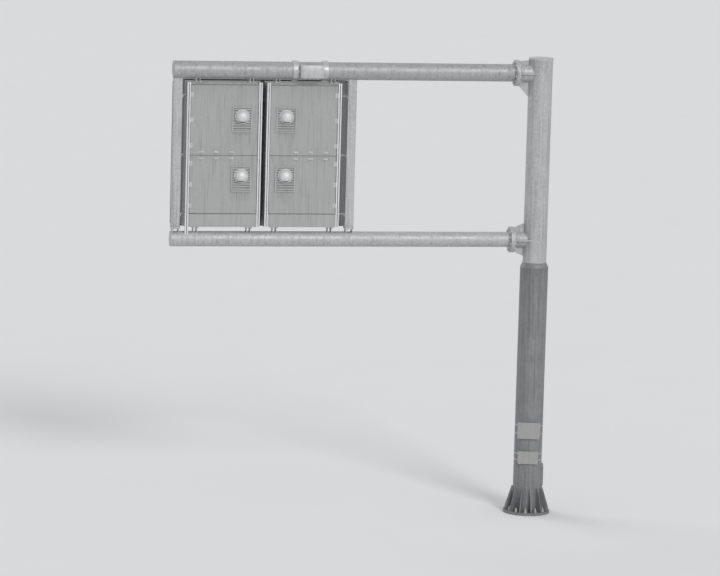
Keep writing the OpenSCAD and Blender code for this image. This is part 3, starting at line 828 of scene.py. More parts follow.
def coat_material(name, colour, grime, rough=0.42, streak=0.3, run_lines=(), vent_lines=(),
                  metallic=0.0, grain_size=0.003):
    """Coated sheet: a faint orange-peel skin, chalky patches and dirt that runs down."""
    tree, shader, where = new_material(name)
    mottle = use_group(tree, "Cloudy Mottle", where, Scale=1.7)
    small = use_group(tree, "Cloudy Mottle", where, Scale=14.0)
    streaks = use_group(tree, "Rain Streaks", where, Spacing=0.03, Length=0.9)
    grain = use_group(tree, "Fine Grain", where, Size=grain_size)
    layers = [(mottle, rgba(colour, 1.10), 0.5), (small, rgba(colour, 0.86), 0.35),
              (streaks, grime, streak)]
    layers += run_layers(tree, where, run_lines, 0.022, grime)
    if vent_lines:
        layers += run_layers(tree, where, vent_lines, 0.016, grime, under_vents(tree, where))
    dull = math_node(tree, "MULTIPLY_ADD", mottle, 0.10, rough)
    feed(tree, shader, {
        "Base Color": lay(tree, rgba(colour), layers),
        "Roughness": math_node(tree, "MULTIPLY_ADD", streaks, 0.16, dull), "Metallic": metallic})
    set_bump(tree, shader, grain, 0.0004, 0.25)


def brushed_material(name, colour, grime, rough, metallic):
    """Bare aluminium or stainless steel with fine upright draw lines."""
    tree, shader, where = new_material(name)
    lines = noise(tree, scaled(tree, where, (900.0, 900.0, 6.0)), 1.0, 2.0)
    mottle = use_group(tree, "Cloudy Mottle", where, Scale=5.0)
    streaks = use_group(tree, "Rain Streaks", where, Spacing=0.02, Length=0.7)
    shade = mix_colour(tree, lines, rgba(colour, 0.86), rgba(colour, 1.12))
    layers = [(mottle, rgba(colour, 0.78), 0.4), (streaks, grime, 0.22)]
    feed(tree, shader, {
        "Base Color": lay(tree, shade, layers),
        "Roughness": math_node(tree, "MULTIPLY_ADD", mottle, 0.16, rough), "Metallic": metallic})
    set_bump(tree, shader, lines, 0.0002, 0.3)


def spun_material(name, colour, grime):
    """Spun aluminium: fine rings round each cowl, darker towards its rim."""
    tree, shader, where = new_material(name)
    path = add(tree, "ShaderNodeAttribute", attribute_name="spun_path",
               attribute_type="GEOMETRY").outputs["Fac"]
    lines = add(tree, "ShaderNodeTexNoise", {
        "W": math_node(tree, "MULTIPLY", path, 700.0), "Scale": 1.0, "Detail": 3.0},
        noise_dimensions="1D").outputs[0]
    mottle = use_group(tree, "Cloudy Mottle", where, Scale=9.0)
    streaks = use_group(tree, "Rain Streaks", where, Spacing=0.012, Length=0.2)
    shade = mix_colour(tree, lines, rgba(colour, 0.84), rgba(colour, 1.10))
    layers = [(mottle, rgba(colour, 0.86), 0.4), (streaks, grime, 0.2),
              (remap(tree, path, 0.17, 0.27), rgba(colour, 0.6), 0.45)]
    feed(tree, shader, {
        "Base Color": lay(tree, shade, layers),
        "Roughness": math_node(tree, "MULTIPLY_ADD", mottle, 0.14, 0.44), "Metallic": 0.3})
    set_bump(tree, shader, lines, 0.0005, 0.4)


def inside_board(tree, part):
    """Mask of the space inside the board's rim, which follows its round corners."""
    past = []
    for axis, (low, high) in ((X, BOARD_X), (Z, BOARD_Z)):
        off = math_node(tree, "ABSOLUTE", math_node(tree, "SUBTRACT", part[axis], (low + high) / 2))
        beyond = math_node(tree, "SUBTRACT", off, (high - low) / 2 - BOARD_CORNER)
        past.append(math_node(tree, "MAXIMUM", beyond, 0.0))
    corner = add(tree, "ShaderNodeCombineXYZ", {0: past[0], 1: past[1]}).outputs[0]
    reach = add(tree, "ShaderNodeVectorMath", {0: corner}, operation="LENGTH").outputs["Value"]
    return math_node(tree, "LESS_THAN", reach, BOARD_CORNER - 0.0035)


def board_material(name, front, rear, grime):
    """Matt black board whose rear side is plain grey."""
    tree, shader, where = new_material(name)
    part = parts(tree, where)
    behind = math_node(tree, "MULTIPLY", math_node(tree, "GREATER_THAN", part[Y], BOARD_Y + 0.003),
                       inside_board(tree, part))
    mottle = use_group(tree, "Cloudy Mottle", where, Scale=1.1)
    streaks = use_group(tree, "Rain Streaks", where, Spacing=0.030, Length=1.7)
    trails = use_group(tree, "Run Off", where, Line=BOARD_Z[1], Reach=1.6, Spacing=0.024)
    grain = use_group(tree, "Fine Grain", where, Size=0.0025)
    side = mix_colour(tree, behind, rgba(front), rgba(rear))
    layers = [(mottle, rgba(rear, 0.5), 0.07), (streaks, grime, 0.25), (trails, rgba(rear, 0.6), 0.14)]
    feed(tree, shader, {
        "Base Color": lay(tree, side, layers),
        "Roughness": math_node(tree, "MULTIPLY_ADD", mottle, 0.12, 0.62)})
    set_bump(tree, shader, grain, 0.0006, 0.4)


def lens_material(name, colour, rough, coat):
    """Clear or coloured lens plastic over its dark seat."""
    tree, shader, where = new_material(name)
    cloud = use_group(tree, "Cloudy Mottle", where, Scale=30.0)
    feed(tree, shader, {
        "Base Color": mix_colour(tree, cloud, rgba(colour, 0.80), rgba(colour, 1.15)),
        "Roughness": math_node(tree, "MULTIPLY_ADD", cloud, 0.08, rough),
        "Coat Weight": coat, "Coat Roughness": 0.08})


def marker_material(name, colour, grime):
    """Retroreflective sheet: a fine honeycomb under a clear skin."""
    tree, shader, where = new_material(name)
    cells = add(tree, "ShaderNodeTexVoronoi", {"Vector": where, "Scale": 260.0, "Randomness": 0.15},
                feature="DISTANCE_TO_EDGE").outputs[0]
    seam = remap(tree, cells, 0.03, 0.10)
    mottle = use_group(tree, "Cloudy Mottle", where, Scale=6.0)
    streaks = use_group(tree, "Rain Streaks", where, Spacing=0.02, Length=0.4)
    shade = mix_colour(tree, seam, rgba(colour, 0.74), rgba(colour))
    layers = [(mottle, rgba(colour, 0.88), 0.4), (streaks, grime, 0.2)]
    feed(tree, shader, {
        "Base Color": lay(tree, shade, layers),
        "Roughness": math_node(tree, "MULTIPLY_ADD", mottle, 0.15, 0.30), "Coat Weight": 0.35})
    set_bump(tree, shader, seam, 0.0003, 0.3)


def rubber_material(name, colour):
    """Dull black rubber with a grey bloom."""
    tree, shader, where = new_material(name)
    cloud = use_group(tree, "Cloudy Mottle", where, Scale=18.0)
    feed(tree, shader, {
        "Base Color": mix_colour(tree, cloud, rgba(colour), rgba(colour, 2.4)),
        "Roughness": math_node(tree, "MULTIPLY_ADD", cloud, 0.1, 0.72)})
    set_bump(tree, shader, use_group(tree, "Fine Grain", where, Size=0.002), 0.0003, 0.4)


def screen_material(name, colour):
    """Woven insect screen seen behind the louvre blades; the gaps between its wires are painted dark,
    as painted shade of the space behind it.
    """
    tree, shader, where = new_material(name)
    part = parts(tree, where)
    waves = []
    for axis in (X, Z):
        turn = math_node(tree, "MULTIPLY", part[axis], math.tau / 0.004)
        waves.append(math_node(tree, "ABSOLUTE", math_node(tree, "SINE", turn)))
    wire = remap(tree, math_node(tree, "MAXIMUM", *waves), 0.86, 0.98)
    feed(tree, shader, {
        # The gaps between the wires are painted dark: painted shade.
        "Base Color": mix_colour(tree, wire, rgba(colour, 0.10), rgba(colour, 0.80)),
        "Roughness": 0.6})
    set_bump(tree, shader, wire, 0.0005, 0.5)


class GANTRY_OT_finishes(bpy.types.Operator):
    """Build every finish of the gantry"""

    bl_idname = "gantry.finishes"
    bl_label = "Finishes"

    def execute(self, context):
        for build in (zinc_spangle, cloudy_mottle, rain_streaks, run_off, fine_grain, ground_splash):
            build()
        look = context.scene.gantry_finishes
        grime, bloom = rgba(look.grime), rgba(look.chalk)
        # The upper boom's zinc is a darker copy of the same zinc: painted shade, for the weaker light
        # that falls on the upper boom.
        shaded_zinc = [part * 0.84 for part in look.zinc]
        zinc_material("galvanised steel", look.zinc, 0.66, bloom, grime, 0.22)
        zinc_material("weathered steel", look.aged_zinc, 0.6, rgba(look.aged_zinc, 1.5), grime, 0.18,
                      spangle=0.2, splash=0.9, streak=0.5, run_lines=((REDUCER_Z[0], 1.8, 0.45),))
        zinc_material("zinc with painted shade", shaded_zinc, 0.66, rgba(look.chalk, 0.84), grime, 0.22)
        zinc_material("bright zinc", look.bright_zinc, 0.75, rgba(look.bright_zinc, 1.12), grime, 0.5,
                      spangle=0.16, streak=0.15)
        zinc_material("weld steel", look.zinc, 0.6, bloom, grime, 0.2, spangle=0.12, streak=0.25)
        coat_material("cabinet sheet", look.sheet, grime, run_lines=((CABINET_Z[1], 0.7, 0.30),))
        tops = ((DOOR_SPANS[1][1] + 0.005, 0.5, 0.32), (DOOR_SPANS[0][1], 0.35, 0.15))
        sills = ((VENT_Z[0] - VENT_H / 2, 0.42, 0.5), (VENT_Z[1] - VENT_H / 2, 0.38, 0.5))
        coat_material("door sheet", look.door, grime, run_lines=tops, vent_lines=sills)
        coat_material("louvre sheet", look.louvre, grime, rough=0.5, streak=0.35)
        coat_material("cable box sheet", look.bright_zinc, grime, rough=0.40, metallic=0.4)
        coat_material("black module", look.black, grime, rough=0.5, streak=0.12, grain_size=0.002)
        brushed_material("extruded aluminium", look.rail, grime, rough=0.42, metallic=0.4)
        brushed_material("stainless steel", look.stainless, grime, rough=0.28, metallic=0.9)
        spun_material("spun aluminium", look.spun, grime)
        board_material("matt black board", look.black, look.board_rear, grime)
        lens_material("clear lens", look.pixel, rough=0.16, coat=0.6)
        lens_material("amber lens", look.amber, rough=0.12, coat=0.8)
        marker_material("retroreflective sheet", look.marker, grime)
        rubber_material("seal rubber", look.rubber)
        screen_material("insect screen", look.stainless)
        return {"FINISHED"}


class GANTRY_OT_steelwork(bpy.types.Operator):
    """Finish the mast, the booms, the posts and their brackets"""

    bl_idname = "gantry.steelwork"
    bl_label = "Steelwork"

    def execute(self, context):
        aged, zinc = finish("weathered steel"), finish("galvanised steel")
        duller = finish("zinc with painted shade")
        paint(aged, "mast_lower", "access_door_frame", "mast_reducer", "base_gussets")
        paint(zinc, "mast_upper", "lower_stub", "upper_stub", "lower_boom", "tip_post", "inner_post",
              "post_stools", "cabinet_feet", "cabinet_hangers", "side_brackets", "lower_stub_gussets",
              "upper_stub_gussets")
        # The upper boom and its cap take the darker copy of the zinc, which is painted shade.
        paint(duller, "upper_boom")
        soften("lower_boom_cap", 0.0015, zinc)
        soften("upper_boom_cap", 0.0015, duller)
        soften("base_flange", 0.004, aged)
        soften("access_door", 0.0015, aged)
        soften("mast_cap", 0.003, finish("bright zinc"))
        for node in ("lower_stub_flange", "lower_boom_flange", "upper_stub_flange",
                     "upper_boom_flange"):
            soften(node, 0.003, zinc)
        return {"FINISHED"}


class GANTRY_OT_cabinets(bpy.types.Operator):
    """Finish the cabinets with their doors, rails and fittings, the cable box and the plates"""

    bl_idname = "gantry.cabinets"
    bl_label = "Cabinets"

    def execute(self, context):
        sheet, door = finish("cabinet sheet"), finish("door sheet")
        for node in ("outer_cabinet", "inner_cabinet"):
            soften(node, 0.0022, sheet, segments=2)
        for node in ("outer_upper_door", "outer_lower_door", "inner_upper_door", "inner_lower_door"):
            soften(node, 0.004, door,
                   keep=lambda edge: all(vert.co.y > DOOR_FACE_Y - 0.001 for vert in edge.verts))
        paint(finish("extruded aluminium"), "corner_rails")
        paint(finish("louvre sheet"), "vent_louvres")
        paint(finish("stainless steel"), "door_hinges", "marker_straps")
        soften("door_latches", 0.0015, finish("stainless steel"))
        soften("junction_box", 0.004, finish("cable box sheet"))
        soften("marker_plates", 0.001, finish("retroreflective sheet"), segments=2)
        return {"FINISHED"}


class GANTRY_OT_front(bpy.types.Operator):
    """Finish the front board, the visor and the bodies of the displays and lanterns"""

    bl_idname = "gantry.front"
    bl_label = "Front"

    def execute(self, context):
        board, module = finish("matt black board"), finish("black module")
        paint(board, "front_board")
        paint(module, "display_visor", "warning_lanterns")
        soften("outer_display", 0.003, module)
        soften("inner_display", 0.003, module)
        return {"FINISHED"}


class GANTRY_OT_holding_down(bpy.types.Operator):
    """Nuts, lock nuts, washers and stud ends on the base flange"""

    bl_idname = "gantry.holding_down"
    bl_label = "Holding-down bolts"

    def execute(self, context):
        size = context.scene.gantry_fasteners
        part = nut_set(size.stud_nut, size.stud_d * 0.8, size.stud_d, beyond=0.042,
                       washer=size.stud_nut * 0.63, lock=0.019)
        bm = bmesh.new()
        for i, angle in enumerate(BOLT_ANGLES):
            at = (STUD_CIRCLE_R * math.cos(angle), STUD_CIRCLE_R * math.sin(angle), BASE_TOP)
            stamp(bm, part, place(at, UP, i * 0.7))
        make_piece("holding_down_bolts", bm, finish("bright zinc"))
        return {"FINISHED"}


class GANTRY_OT_joint_bolts(bpy.types.Operator):
    """Bolts of the two boom joints, with heads on the boom side and nuts on the mast side"""

    bl_idname = "gantry.joint_bolts"
    bl_label = "Boom joint bolts"

    def execute(self, context):
        size = context.scene.gantry_fasteners
        washer = size.joint_nut * 0.61
        nut = nut_set(size.joint_nut, size.joint_d * 0.8, size.joint_d, beyond=0.016, washer=washer)
        head = head_set(size.joint_nut, size.joint_d * 0.63, washer, washer_t=0.005)
        bm = bmesh.new()
        for z, _ in (LOWER_BOOM, UPPER_BOOM):
            for i, angle in enumerate(BOLT_ANGLES):
                y, up = JOINT_CIRCLE_R * math.sin(angle), z + JOINT_CIRCLE_R * math.cos(angle)
                stamp(bm, nut, place((STUB_FACE_X, y, up), MASTWARD, i * 0.5))
                stamp(bm, head, place((BOOM_FACE_X, y, up), TIPWARD, i * 0.9))
        make_piece("boom_joint_bolts", bm, finish("bright zinc"))
        return {"FINISHED"}


def rod_gap(radius, y):
    """Height of a round rod's surface over its axis, at a distance from the axis."""
    return math.sqrt(max(0.0, radius * radius - y * y))


def weld_base(bm, leg, small):
    """Welds of the mast's foot, its tapered ring, the gussets and the access door's frame."""
    notch, stop, off = GUSSET_NOTCH_R + 0.004, 0.004, GUSSET_T / 2 + 0.0005
    bead(bm, ring((0, 0, BASE_TOP), MAST_LOW_R, UP), leg, closed=True)
    for z, radius in zip(REDUCER_Z, (MAST_LOW_R, MAST_UP_R)):
        bead(bm, ring((0, 0, z), radius - 0.003, UP), leg * 0.8, closed=True)
    for angle in GUSSET_ANGLES:
        turn = Matrix.Rotation(angle, 3, "Z")
        for y in (-off, off):
            upright = line((MAST_LOW_R, y, BASE_TOP + notch), (MAST_LOW_R, y, GUSSET_TOP - stop))
            level = line((MAST_LOW_R + notch, y, BASE_TOP), (GUSSET_END - stop, y, BASE_TOP))
            for path in (upright, level):
                bead(bm, [turn @ point for point in path], small)
    outline = rounded(ACCESS_W, ACCESS_H, ACCESS_CORNER)
    collar = [(-rod_gap(MAST_LOW_R, y), y, ACCESS_Z + up) for y, up in outline]
    bead(bm, collar, small, closed=True)


def weld_arm(bm, boom, gussets, leg, small):
    """Welds of an arm: its shaped end, the flanges, the boom's cap, the haunches and side plates."""
    z, radius = boom
    count = round(math.tau * radius / PATH_STEP)
    cope = []
    for i in range(count):
        y, up = radius * math.sin(math.tau * i / count), radius * math.cos(math.tau * i / count)
        cope.append((rod_gap(MAST_UP_R, y), y, z + up))
    bead(bm, cope, leg * 0.9, closed=True)
    for x in (STUB_FACE_X, BOOM_FACE_X):
        bead(bm, ring((x, 0, z), radius, TIPWARD), leg * 0.9, closed=True)
    bead(bm, ring((BOOM_END_X, 0, z), radius - 0.003, TIPWARD), small, closed=True)
    low, high = span(gussets, Z)
    first, last = math.asin(radius / MAST_UP_R), math.acos(SIDE_PLATE_START)
    flank = rod_gap(MAST_UP_R, radius)
    for sign, tip in ((1, high), (-1, low)):
        near, far = sign * radius, sign * HAUNCH_EDGE
        for side in (-HAUNCH_T / 2, HAUNCH_T / 2):
            level = z + side
            paths = (
                line((MAST_UP_R, side, z + near), (MAST_UP_R, side, tip)),
                line((STUB_FACE_X, side, z + near), (STUB_FACE_X, side, z + far)),
                line((MAST_UP_R, side, z + near), (STUB_FACE_X, side, z + near)),
                ring((0, 0, level), MAST_UP_R, UP, sign * first, sign * last),
                line((flank, near, level), (STUB_FACE_X, near, level)),
                line((STUB_FACE_X, near, level), (STUB_FACE_X, far, level)))
            for path in paths:
                bead(bm, path, small)


def web_arcs(bm, x, boom, side, half, thick, leg):
    """The two weld arcs where an upright web stands on, or hangs from, a round boom."""
    axis_z, radius = boom
    for edge in (-thick / 2, thick / 2):
        ys = [-half + 2 * half * i / 14 for i in range(15)]
        bead(bm, [(x + edge, y, axis_z + side * rod_gap(radius, y)) for y in ys], leg)


def weld_frame(bm, leg):
    """Welds of the posts and their stools, and of the cabinets' feet and hangers."""
    for x, width in POSTS:
        outline = [(x + across, y) for across, y in rounded(width, POST_DEPTH, POST_CORNER)]
        top = [(at, y, UPPER_BOOM[0] - rod_gap(UPPER_BOOM[1], y)) for at, y in outline]
        bead(bm, top, leg, closed=True)
        bead(bm, [(at, y, POST_FOOT_Z + POST_PLATE_T) for at, y in outline], leg, closed=True)
        for side in (-1, 1):
            web_arcs(bm, x + side * (width / 2 - STOOL_IN), LOWER_BOOM, 1, 0.095, 0.02, leg)
    for x in FOOT_X:
        for side in (-FOOT_WEB_X, FOOT_WEB_X):
            web_arcs(bm, x + side, LOWER_BOOM, 1, 0.10, FOOT_T, leg * 0.8)
            web_arcs(bm, x + side, UPPER_BOOM, -1, 0.10, FOOT_T, leg * 0.8)


class GANTRY_OT_welds(bpy.types.Operator):
    """Rippled weld beads where the steel pieces meet"""

    bl_idname = "gantry.welds"
    bl_label = "Welds"

    def execute(self, context):
        leg = context.scene.gantry_fasteners.weld_leg
        small = leg * 0.65
        bm = bmesh.new()
        weld_base(bm, leg, small)
        make_piece("base_welds", bm, finish("weathered steel"), angle=80)
        bm = bmesh.new()
        for boom, gussets in ARMS:
            weld_arm(bm, boom, gussets, leg, small)
        weld_frame(bm, small)
        make_piece("boom_welds", bm, finish("weld steel"), angle=80)
        return {"FINISHED"}


class GANTRY_OT_bracket_bolts(bpy.types.Operator):
    """Bright bolts of the feet, hangers, stools, side brackets and collars, and the cap's screws"""

    bl_idname = "gantry.bracket_bolts"
    bl_label = "Bracket bolts"

    def execute(self, context):
        # The spins leave each head turned a little differently from the next one.
        size = context.scene.gantry_fasteners
        washer = size.bracket_nut * 0.63
        head = head_set(size.bracket_nut, size.bracket_d * 0.63, washer, washer_t=0.003)
        nut = nut_set(size.bracket_nut, size.bracket_d * 0.8, size.bracket_d, beyond=0.009,
                      washer=washer)
        post_head = head_set(0.030, 0.0125, washer=0.0185, washer_t=0.004)
        post_nut = nut_set(0.030, 0.016, 0.020, beyond=0.012, washer=0.0185)
        screw = head_set(0.013, 0.0055, washer=0.009, washer_t=0.0016)
        bm = bmesh.new()
        for x in FOOT_X:
            for dx, y in four(0.064, 0.088):
                stamp(bm, nut, place((x + dx, y, CABINET_Z[0] - FOOT_T), DOWN, dx * 40 + y * 9))
                stamp(bm, head, place((x + dx, y, CABINET_Z[1] + FOOT_T), UP, dx * 30 + y * 12))
        for x, width in POSTS:
            for dx, y in four(width / 2 - 0.065, 0.0985):
                top, under = POST_FOOT_Z + POST_PLATE_T, POST_FOOT_Z - POST_PLATE_T
                stamp(bm, post_head, place((x + dx, y, top), UP, dx * 30 + y * 7))
                stamp(bm, post_nut, place((x + dx, y, under), DOWN, dx * 20 + y * 9))
        for low, high in BRACKET_X:
            for z in BRACKET_Z:
                for y in (-0.03, 0.03):
                    stamp(bm, head, place((low + 0.012, y, z - 0.032), TIPWARD, y * 30))
                    stamp(bm, head, place((high - 0.012, y, z - 0.032), MASTWARD, y * 50))
        clamp_z = UPPER_BOOM[0] - 0.244
        for x in CLAMP_X:
            for dx in (-0.038, 0.038):
                stamp(bm, head, place((x + dx, 0.02, clamp_z), REARWARD, dx * 30))
                stamp(bm, nut, place((x + dx, -0.02, clamp_z), FRONTWARD, dx * 20))
        for i, angle in enumerate(around(8, 22.5)):
            out = (math.cos(angle), math.sin(angle), 0)
            at = (CAP_SKIRT_R * out[0] * 0.999, CAP_SKIRT_R * out[1] * 0.999, CAP_SCREW_Z)
            stamp(bm, screw, place(at, out, i))
        make_piece("bracket_bolts", bm, finish("bright zinc"))
        return {"FINISHED"}


class GANTRY_OT_access_door(bpy.types.Operator):
    """Seal, screws and key spindle of the mast's access door"""

    bl_idname = "gantry.access_door"
    bl_label = "Access door fittings"

    def execute(self, context):
        seal = bmesh.new()
        outline = rounded(ACCESS_W - 0.008, ACCESS_H - 0.008, ACCESS_CORNER - 0.004)
        path = [(ACCESS_FACE_X + 0.0055, y, ACCESS_Z + up) for y, up in outline]
        bead(seal, path, 0.0026, closed=True, ripple=0.0)
        make_piece("access_door_seal", seal, finish("seal rubber"), angle=80)

        bm = bmesh.new()
        head = socket_head(context.scene.gantry_fasteners.screw_d * 1.1, 0.006)
        sides = [(y, ACCESS_Z + up) for y in (-0.112, 0.112) for up in (-0.2, 0.0, 0.2)]
        ends = [(0.0, ACCESS_Z + up) for up in (-0.252, 0.252)]
        for y, z in sides + ends:
            stamp(bm, head, place((ACCESS_FACE_X, y, z), MASTWARD, y * 9 + z))
        key = bmesh.new()
        lathe(key, [(0.0, 0.0), (0.0175, 0.0), (0.0175, 0.0015), (0.0125, 0.002), (0.0125, 0.0006),
                    (0.0, 0.0006)], 24)
        disc(key, 0.0075, 0.0002, 0.0052, segments=3)
        stamp(bm, template(key), place((LOCK_X, 0, LOCK_Z), MASTWARD))
        make_piece("access_door_screws", bm, finish("stainless steel"))
        return {"FINISHED"}


class GANTRY_OT_rivets(bpy.types.Operator):
    """Rivets of the cabinets and screws of the front board and visor"""

    bl_idname = "gantry.rivets"
    bl_label = "Rivets and screws"

    def execute(self, context):
        size = context.scene.gantry_fasteners
        rivet = dome_head(size.rivet_d, size.rivet_d * 0.3)
        bm = bmesh.new()
        for sides in CABINETS:
            for x, out in zip(sides, (-1, 1)):
                for z in runs(inside(CABINET_Z, 0.05), size.rivet_pitch):
                    for y in inside(CABINET_Y, 0.02):
                        stamp(bm, rivet, place((x, y, z), (out, 0, 0)))
            for x in runs(inside(sides, 0.06), size.rivet_pitch):
                for y in inside(CABINET_Y, 0.02):
                    stamp(bm, rivet, place((x, y, CABINET_Z[1]), UP))
                    stamp(bm, rivet, place((x, y, CABINET_Z[0]), DOWN))
            for x in runs(inside(sides, RAIL_W + 0.05), size.rivet_pitch):
                for z in inside((CABINET_Z[0], PLINTH_TOP), 0.02):
                    stamp(bm, rivet, place((x, DOOR_FACE_Y, z), REARWARD))
        make_piece("cabinet_rivets", bm, finish("bright zinc"))

        screw = dome_head(size.screw_d, size.screw_d * 0.28, 12)
        pitch = 0.31
        edge = [(x, z) for x in runs(inside(BOARD_X, 0.12), pitch) for z in inside(BOARD_Z, 0.035)]
        edge += [(x, z) for z in runs(inside(BOARD_Z, 0.12), pitch) for x in inside(BOARD_X, 0.035)]
        middle = [(SIGN_X + side, z) for side in (-0.061, 0.061)
                  for z in runs(inside(BOARD_Z, 0.35), pitch)
                  if not VISOR_Z[0] - 0.03 < z < VISOR_Z[1] + 0.03]
        bm = bmesh.new()
        for x, z in edge + middle:
            stamp(bm, screw, place((x, BOARD_Y, z), FRONTWARD))
        for x in runs(inside(VISOR_X, 0.05), 0.329):
            stamp(bm, screw, place((x, BOARD_Y - 0.006, VISOR_Z[0] + 0.016), FRONTWARD))
        make_piece("board_screws", bm, finish("stainless steel"))
        return {"FINISHED"}


class GANTRY_OT_door_seals(bpy.types.Operator):
    """Black seals in the gaps round the four cabinet doors"""

    bl_idname = "gantry.door_seals"
    bl_label = "Door seals"

    def execute(self, context):
        bm = bmesh.new()
        width, depth = 0.0145, 0.0255
        section = [(0.0, 0.0), (width, 0.0), (width, depth), (0.0, depth)]
        for left, right in CABINETS:
            for low, high in DOOR_SPANS:
                left_x, right_x = inside((left, right), RAIL_W + 0.0005)
                low_z, high_z = inside((low, high), -0.0045)
                rings = []
                for by, out in section:
                    corners = [(left_x + by, low_z + by), (right_x - by, low_z + by),
                               (right_x - by, high_z - by), (left_x + by, high_z - by)]
                    rings.append([bm.verts.new((x, CABINET_Y[1] + out, z)) for x, z in corners])
                skin(bm, rings, closed=True)
        make_piece("door_seals", bm, finish("seal rubber"))
        return {"FINISHED"}


def cowl_profile():
    """Half section of a cowl: rolled rim, outer skin with its swage, crown, and inner skin."""
    rim = [(0.1665, 0.0), (0.1695, 0.002), (0.1700, 0.005), (0.1695, 0.0085), (0.1665, 0.0105),
           (0.1630, 0.0095), (0.1600, 0.0065), (0.1540, 0.0060)]
    swage = {9: 0.985, 10: 0.975, 11: 0.985}
    outer = [(across * swage.get(i, 1.0), up * swage.get(i, 1.0))
             for i, (across, up) in enumerate(arc(COWL_R, 3, 84, 30))]
    crown = [(0.004, 0.1497), (0.0, 0.1499), (0.0, 0.1455), (0.004, 0.1453)]
    inner = arc(COWL_R - COWL_T, 3, 84, 30)[::-2]
    return rim + outer + crown + inner + [(COWL_R - COWL_T, 0.0), rim[0]]


def cut_mouth(cowl):
    """Open the underside of a cowl, over its rim, and close the cut between its two skins."""
    for point, normal in (((0, 0, MOUTH_OUT), (0, 0, 1)), ((0, MOUTH_LOW, 0), (0, 1, 0))):
        faces = [face for face in cowl.faces if face.calc_center_median().y < -0.07]
        near = dict.fromkeys(item for face in faces for item in (*face.verts, *face.edges, face))
        bmesh.ops.bisect_plane(cowl, geom=list(near), dist=1e-6, plane_co=point, plane_no=normal)
    away = []
    for face in cowl.faces:
        middle = face.calc_center_median()
        if middle.y < MOUTH_LOW and middle.z > MOUTH_OUT:
            away.append(face)
    bmesh.ops.delete(cowl, geom=away, context="FACES")
    bmesh.ops.bridge_loops(cowl, edges=[edge for edge in cowl.edges if edge.is_boundary])


class GANTRY_OT_cowls(bpy.types.Operator):
    """Spun aluminium cowls with a rolled rim, a swage and rivets, on the four ventilators"""

    bl_idname = "gantry.cowls"
    bl_label = "Ventilator cowls"

    def execute(self, context):
        cowl = bmesh.new()
        lathe(cowl, cowl_profile(), 64)
        cut_mouth(cowl)
        hem = [(x, MOUTH_LOW, out) for x, out in arc(0.1078, 7.5, 165)]
        hem += [(x, up, MOUTH_OUT) for x, up in arc(0.1463, 223.5, 93)]
        bead(cowl, hem, 0.0036, closed=True, ripple=0.0)
        bmesh.ops.recalc_face_normals(cowl, faces=cowl.faces[:])
        path = cowl.verts.layers.float.new("spun_path")
        for vert in cowl.verts:
            vert[path] = math.hypot(vert.co.x, vert.co.y) + 0.6 * (COWL_R - vert.co.z)
        part = bpy.data.meshes.new("cowl")
        cowl.to_mesh(part)
        cowl.free()
        bm = bmesh.new()
        for x, z in VENTS:
            stamp(bm, part, place((x, COWL_Y, z + COWL_UP), REARWARD))
        piece = make_piece("spun_cowls", bm, finish("spun aluminium"), angle=50, recalc=False)
        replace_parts(piece, "vent_cowls")

        rivet = dome_head(0.010, 0.003)
        screw = socket_head(0.016, 0.006)
        rivets = [(0.1575 * math.cos(angle), 0.1575 * math.sin(angle)) for angle in around(8, 22.5)]
        half_w, half_h = VENT_W / 2 - 0.015, VENT_H / 2 - 0.015
        bm = bmesh.new()
        for x, z in VENTS:
            for dx, dz in rivets:
                stamp(bm, rivet, place((x + dx, COWL_Y + 0.0062, z + COWL_UP + dz), REARWARD))
            for dx in (-half_w, half_w):
                for dz in (-half_h, 0.0, half_h):
                    stamp(bm, screw, place((x + dx, COWL_Y, z + dz), REARWARD, dx + dz))
        make_piece("ventilator_screws", bm, finish("stainless steel"))

        half_w, half_h = VENT_W / 2 - 0.031, VENT_H / 2 - 0.031
        bm = bmesh.new()
        for x, z in VENTS:
            block(bm, (x - half_w, DOOR_FACE_Y + 0.0002, z - half_h),
                  (x + half_w, DOOR_FACE_Y + 0.0022, z + half_h))
        make_piece("ventilator_screens", bm, finish("insect screen"))
        return {"FINISHED"}


class GANTRY_OT_door_fittings(bpy.types.Operator):
    """Knuckles and screws of the hinges, and screws and keyholes of the latches"""

    bl_idname = "gantry.door_fittings"
    bl_label = "Door fittings"

    @staticmethod
    def knuckles():
        """Five knuckles in a row, and the two ends of their pin."""
        bm = bmesh.new()
        for i in range(5):
            base = -0.055 + 0.022 * i
            lathe(bm, [(0.0, base + 0.001), (0.0106, base + 0.001), (0.0112, base + 0.002),
                       (0.0112, base + 0.020), (0.0106, base + 0.021), (0.0, base + 0.021)], 20)
        for sign in (-1, 1):
            end = 0.055 * sign
            lathe(bm, [(0.0, end - 0.001), (0.0062, end - 0.001), (0.0062, end + sign * 0.003),
                       (0.004, end + sign * 0.0045), (0.0, end + sign * 0.005)], 16)
        return template(bm)

    def execute(self, context):
        screw, knuckles = dome_head(0.011, 0.0028), self.knuckles()
        bm = bmesh.new()
        for x, side in HINGE_X:
            for z in HINGE_Z:
                stamp(bm, knuckles, place((x, DOOR_FACE_Y + 0.010, z), UP))
                for dz in (-0.04, 0.0, 0.04):
                    stamp(bm, screw, place((x + side * 0.042, FITTING_Y, z + dz), REARWARD))
        barrel = bmesh.new()
        lathe(barrel, [(0.0, -SEAT), (0.0085, -SEAT), (0.0085, 0.002), (0.0070, 0.0032),
                       (0.0045, 0.0032), (0.0045, 0.0012), (0.0, 0.0012)], 20)
        barrel = template(barrel)
        for x in LATCH_X:
            for z in LATCH_Z:
                for dx in (-0.049, 0.049):
                    stamp(bm, screw, place((x + dx, FITTING_Y, z), REARWARD))
                stamp(bm, barrel, place((x + 0.030, FITTING_Y, z - 0.014), REARWARD))
        make_piece("door_fittings", bm, finish("stainless steel"))
        return {"FINISHED"}


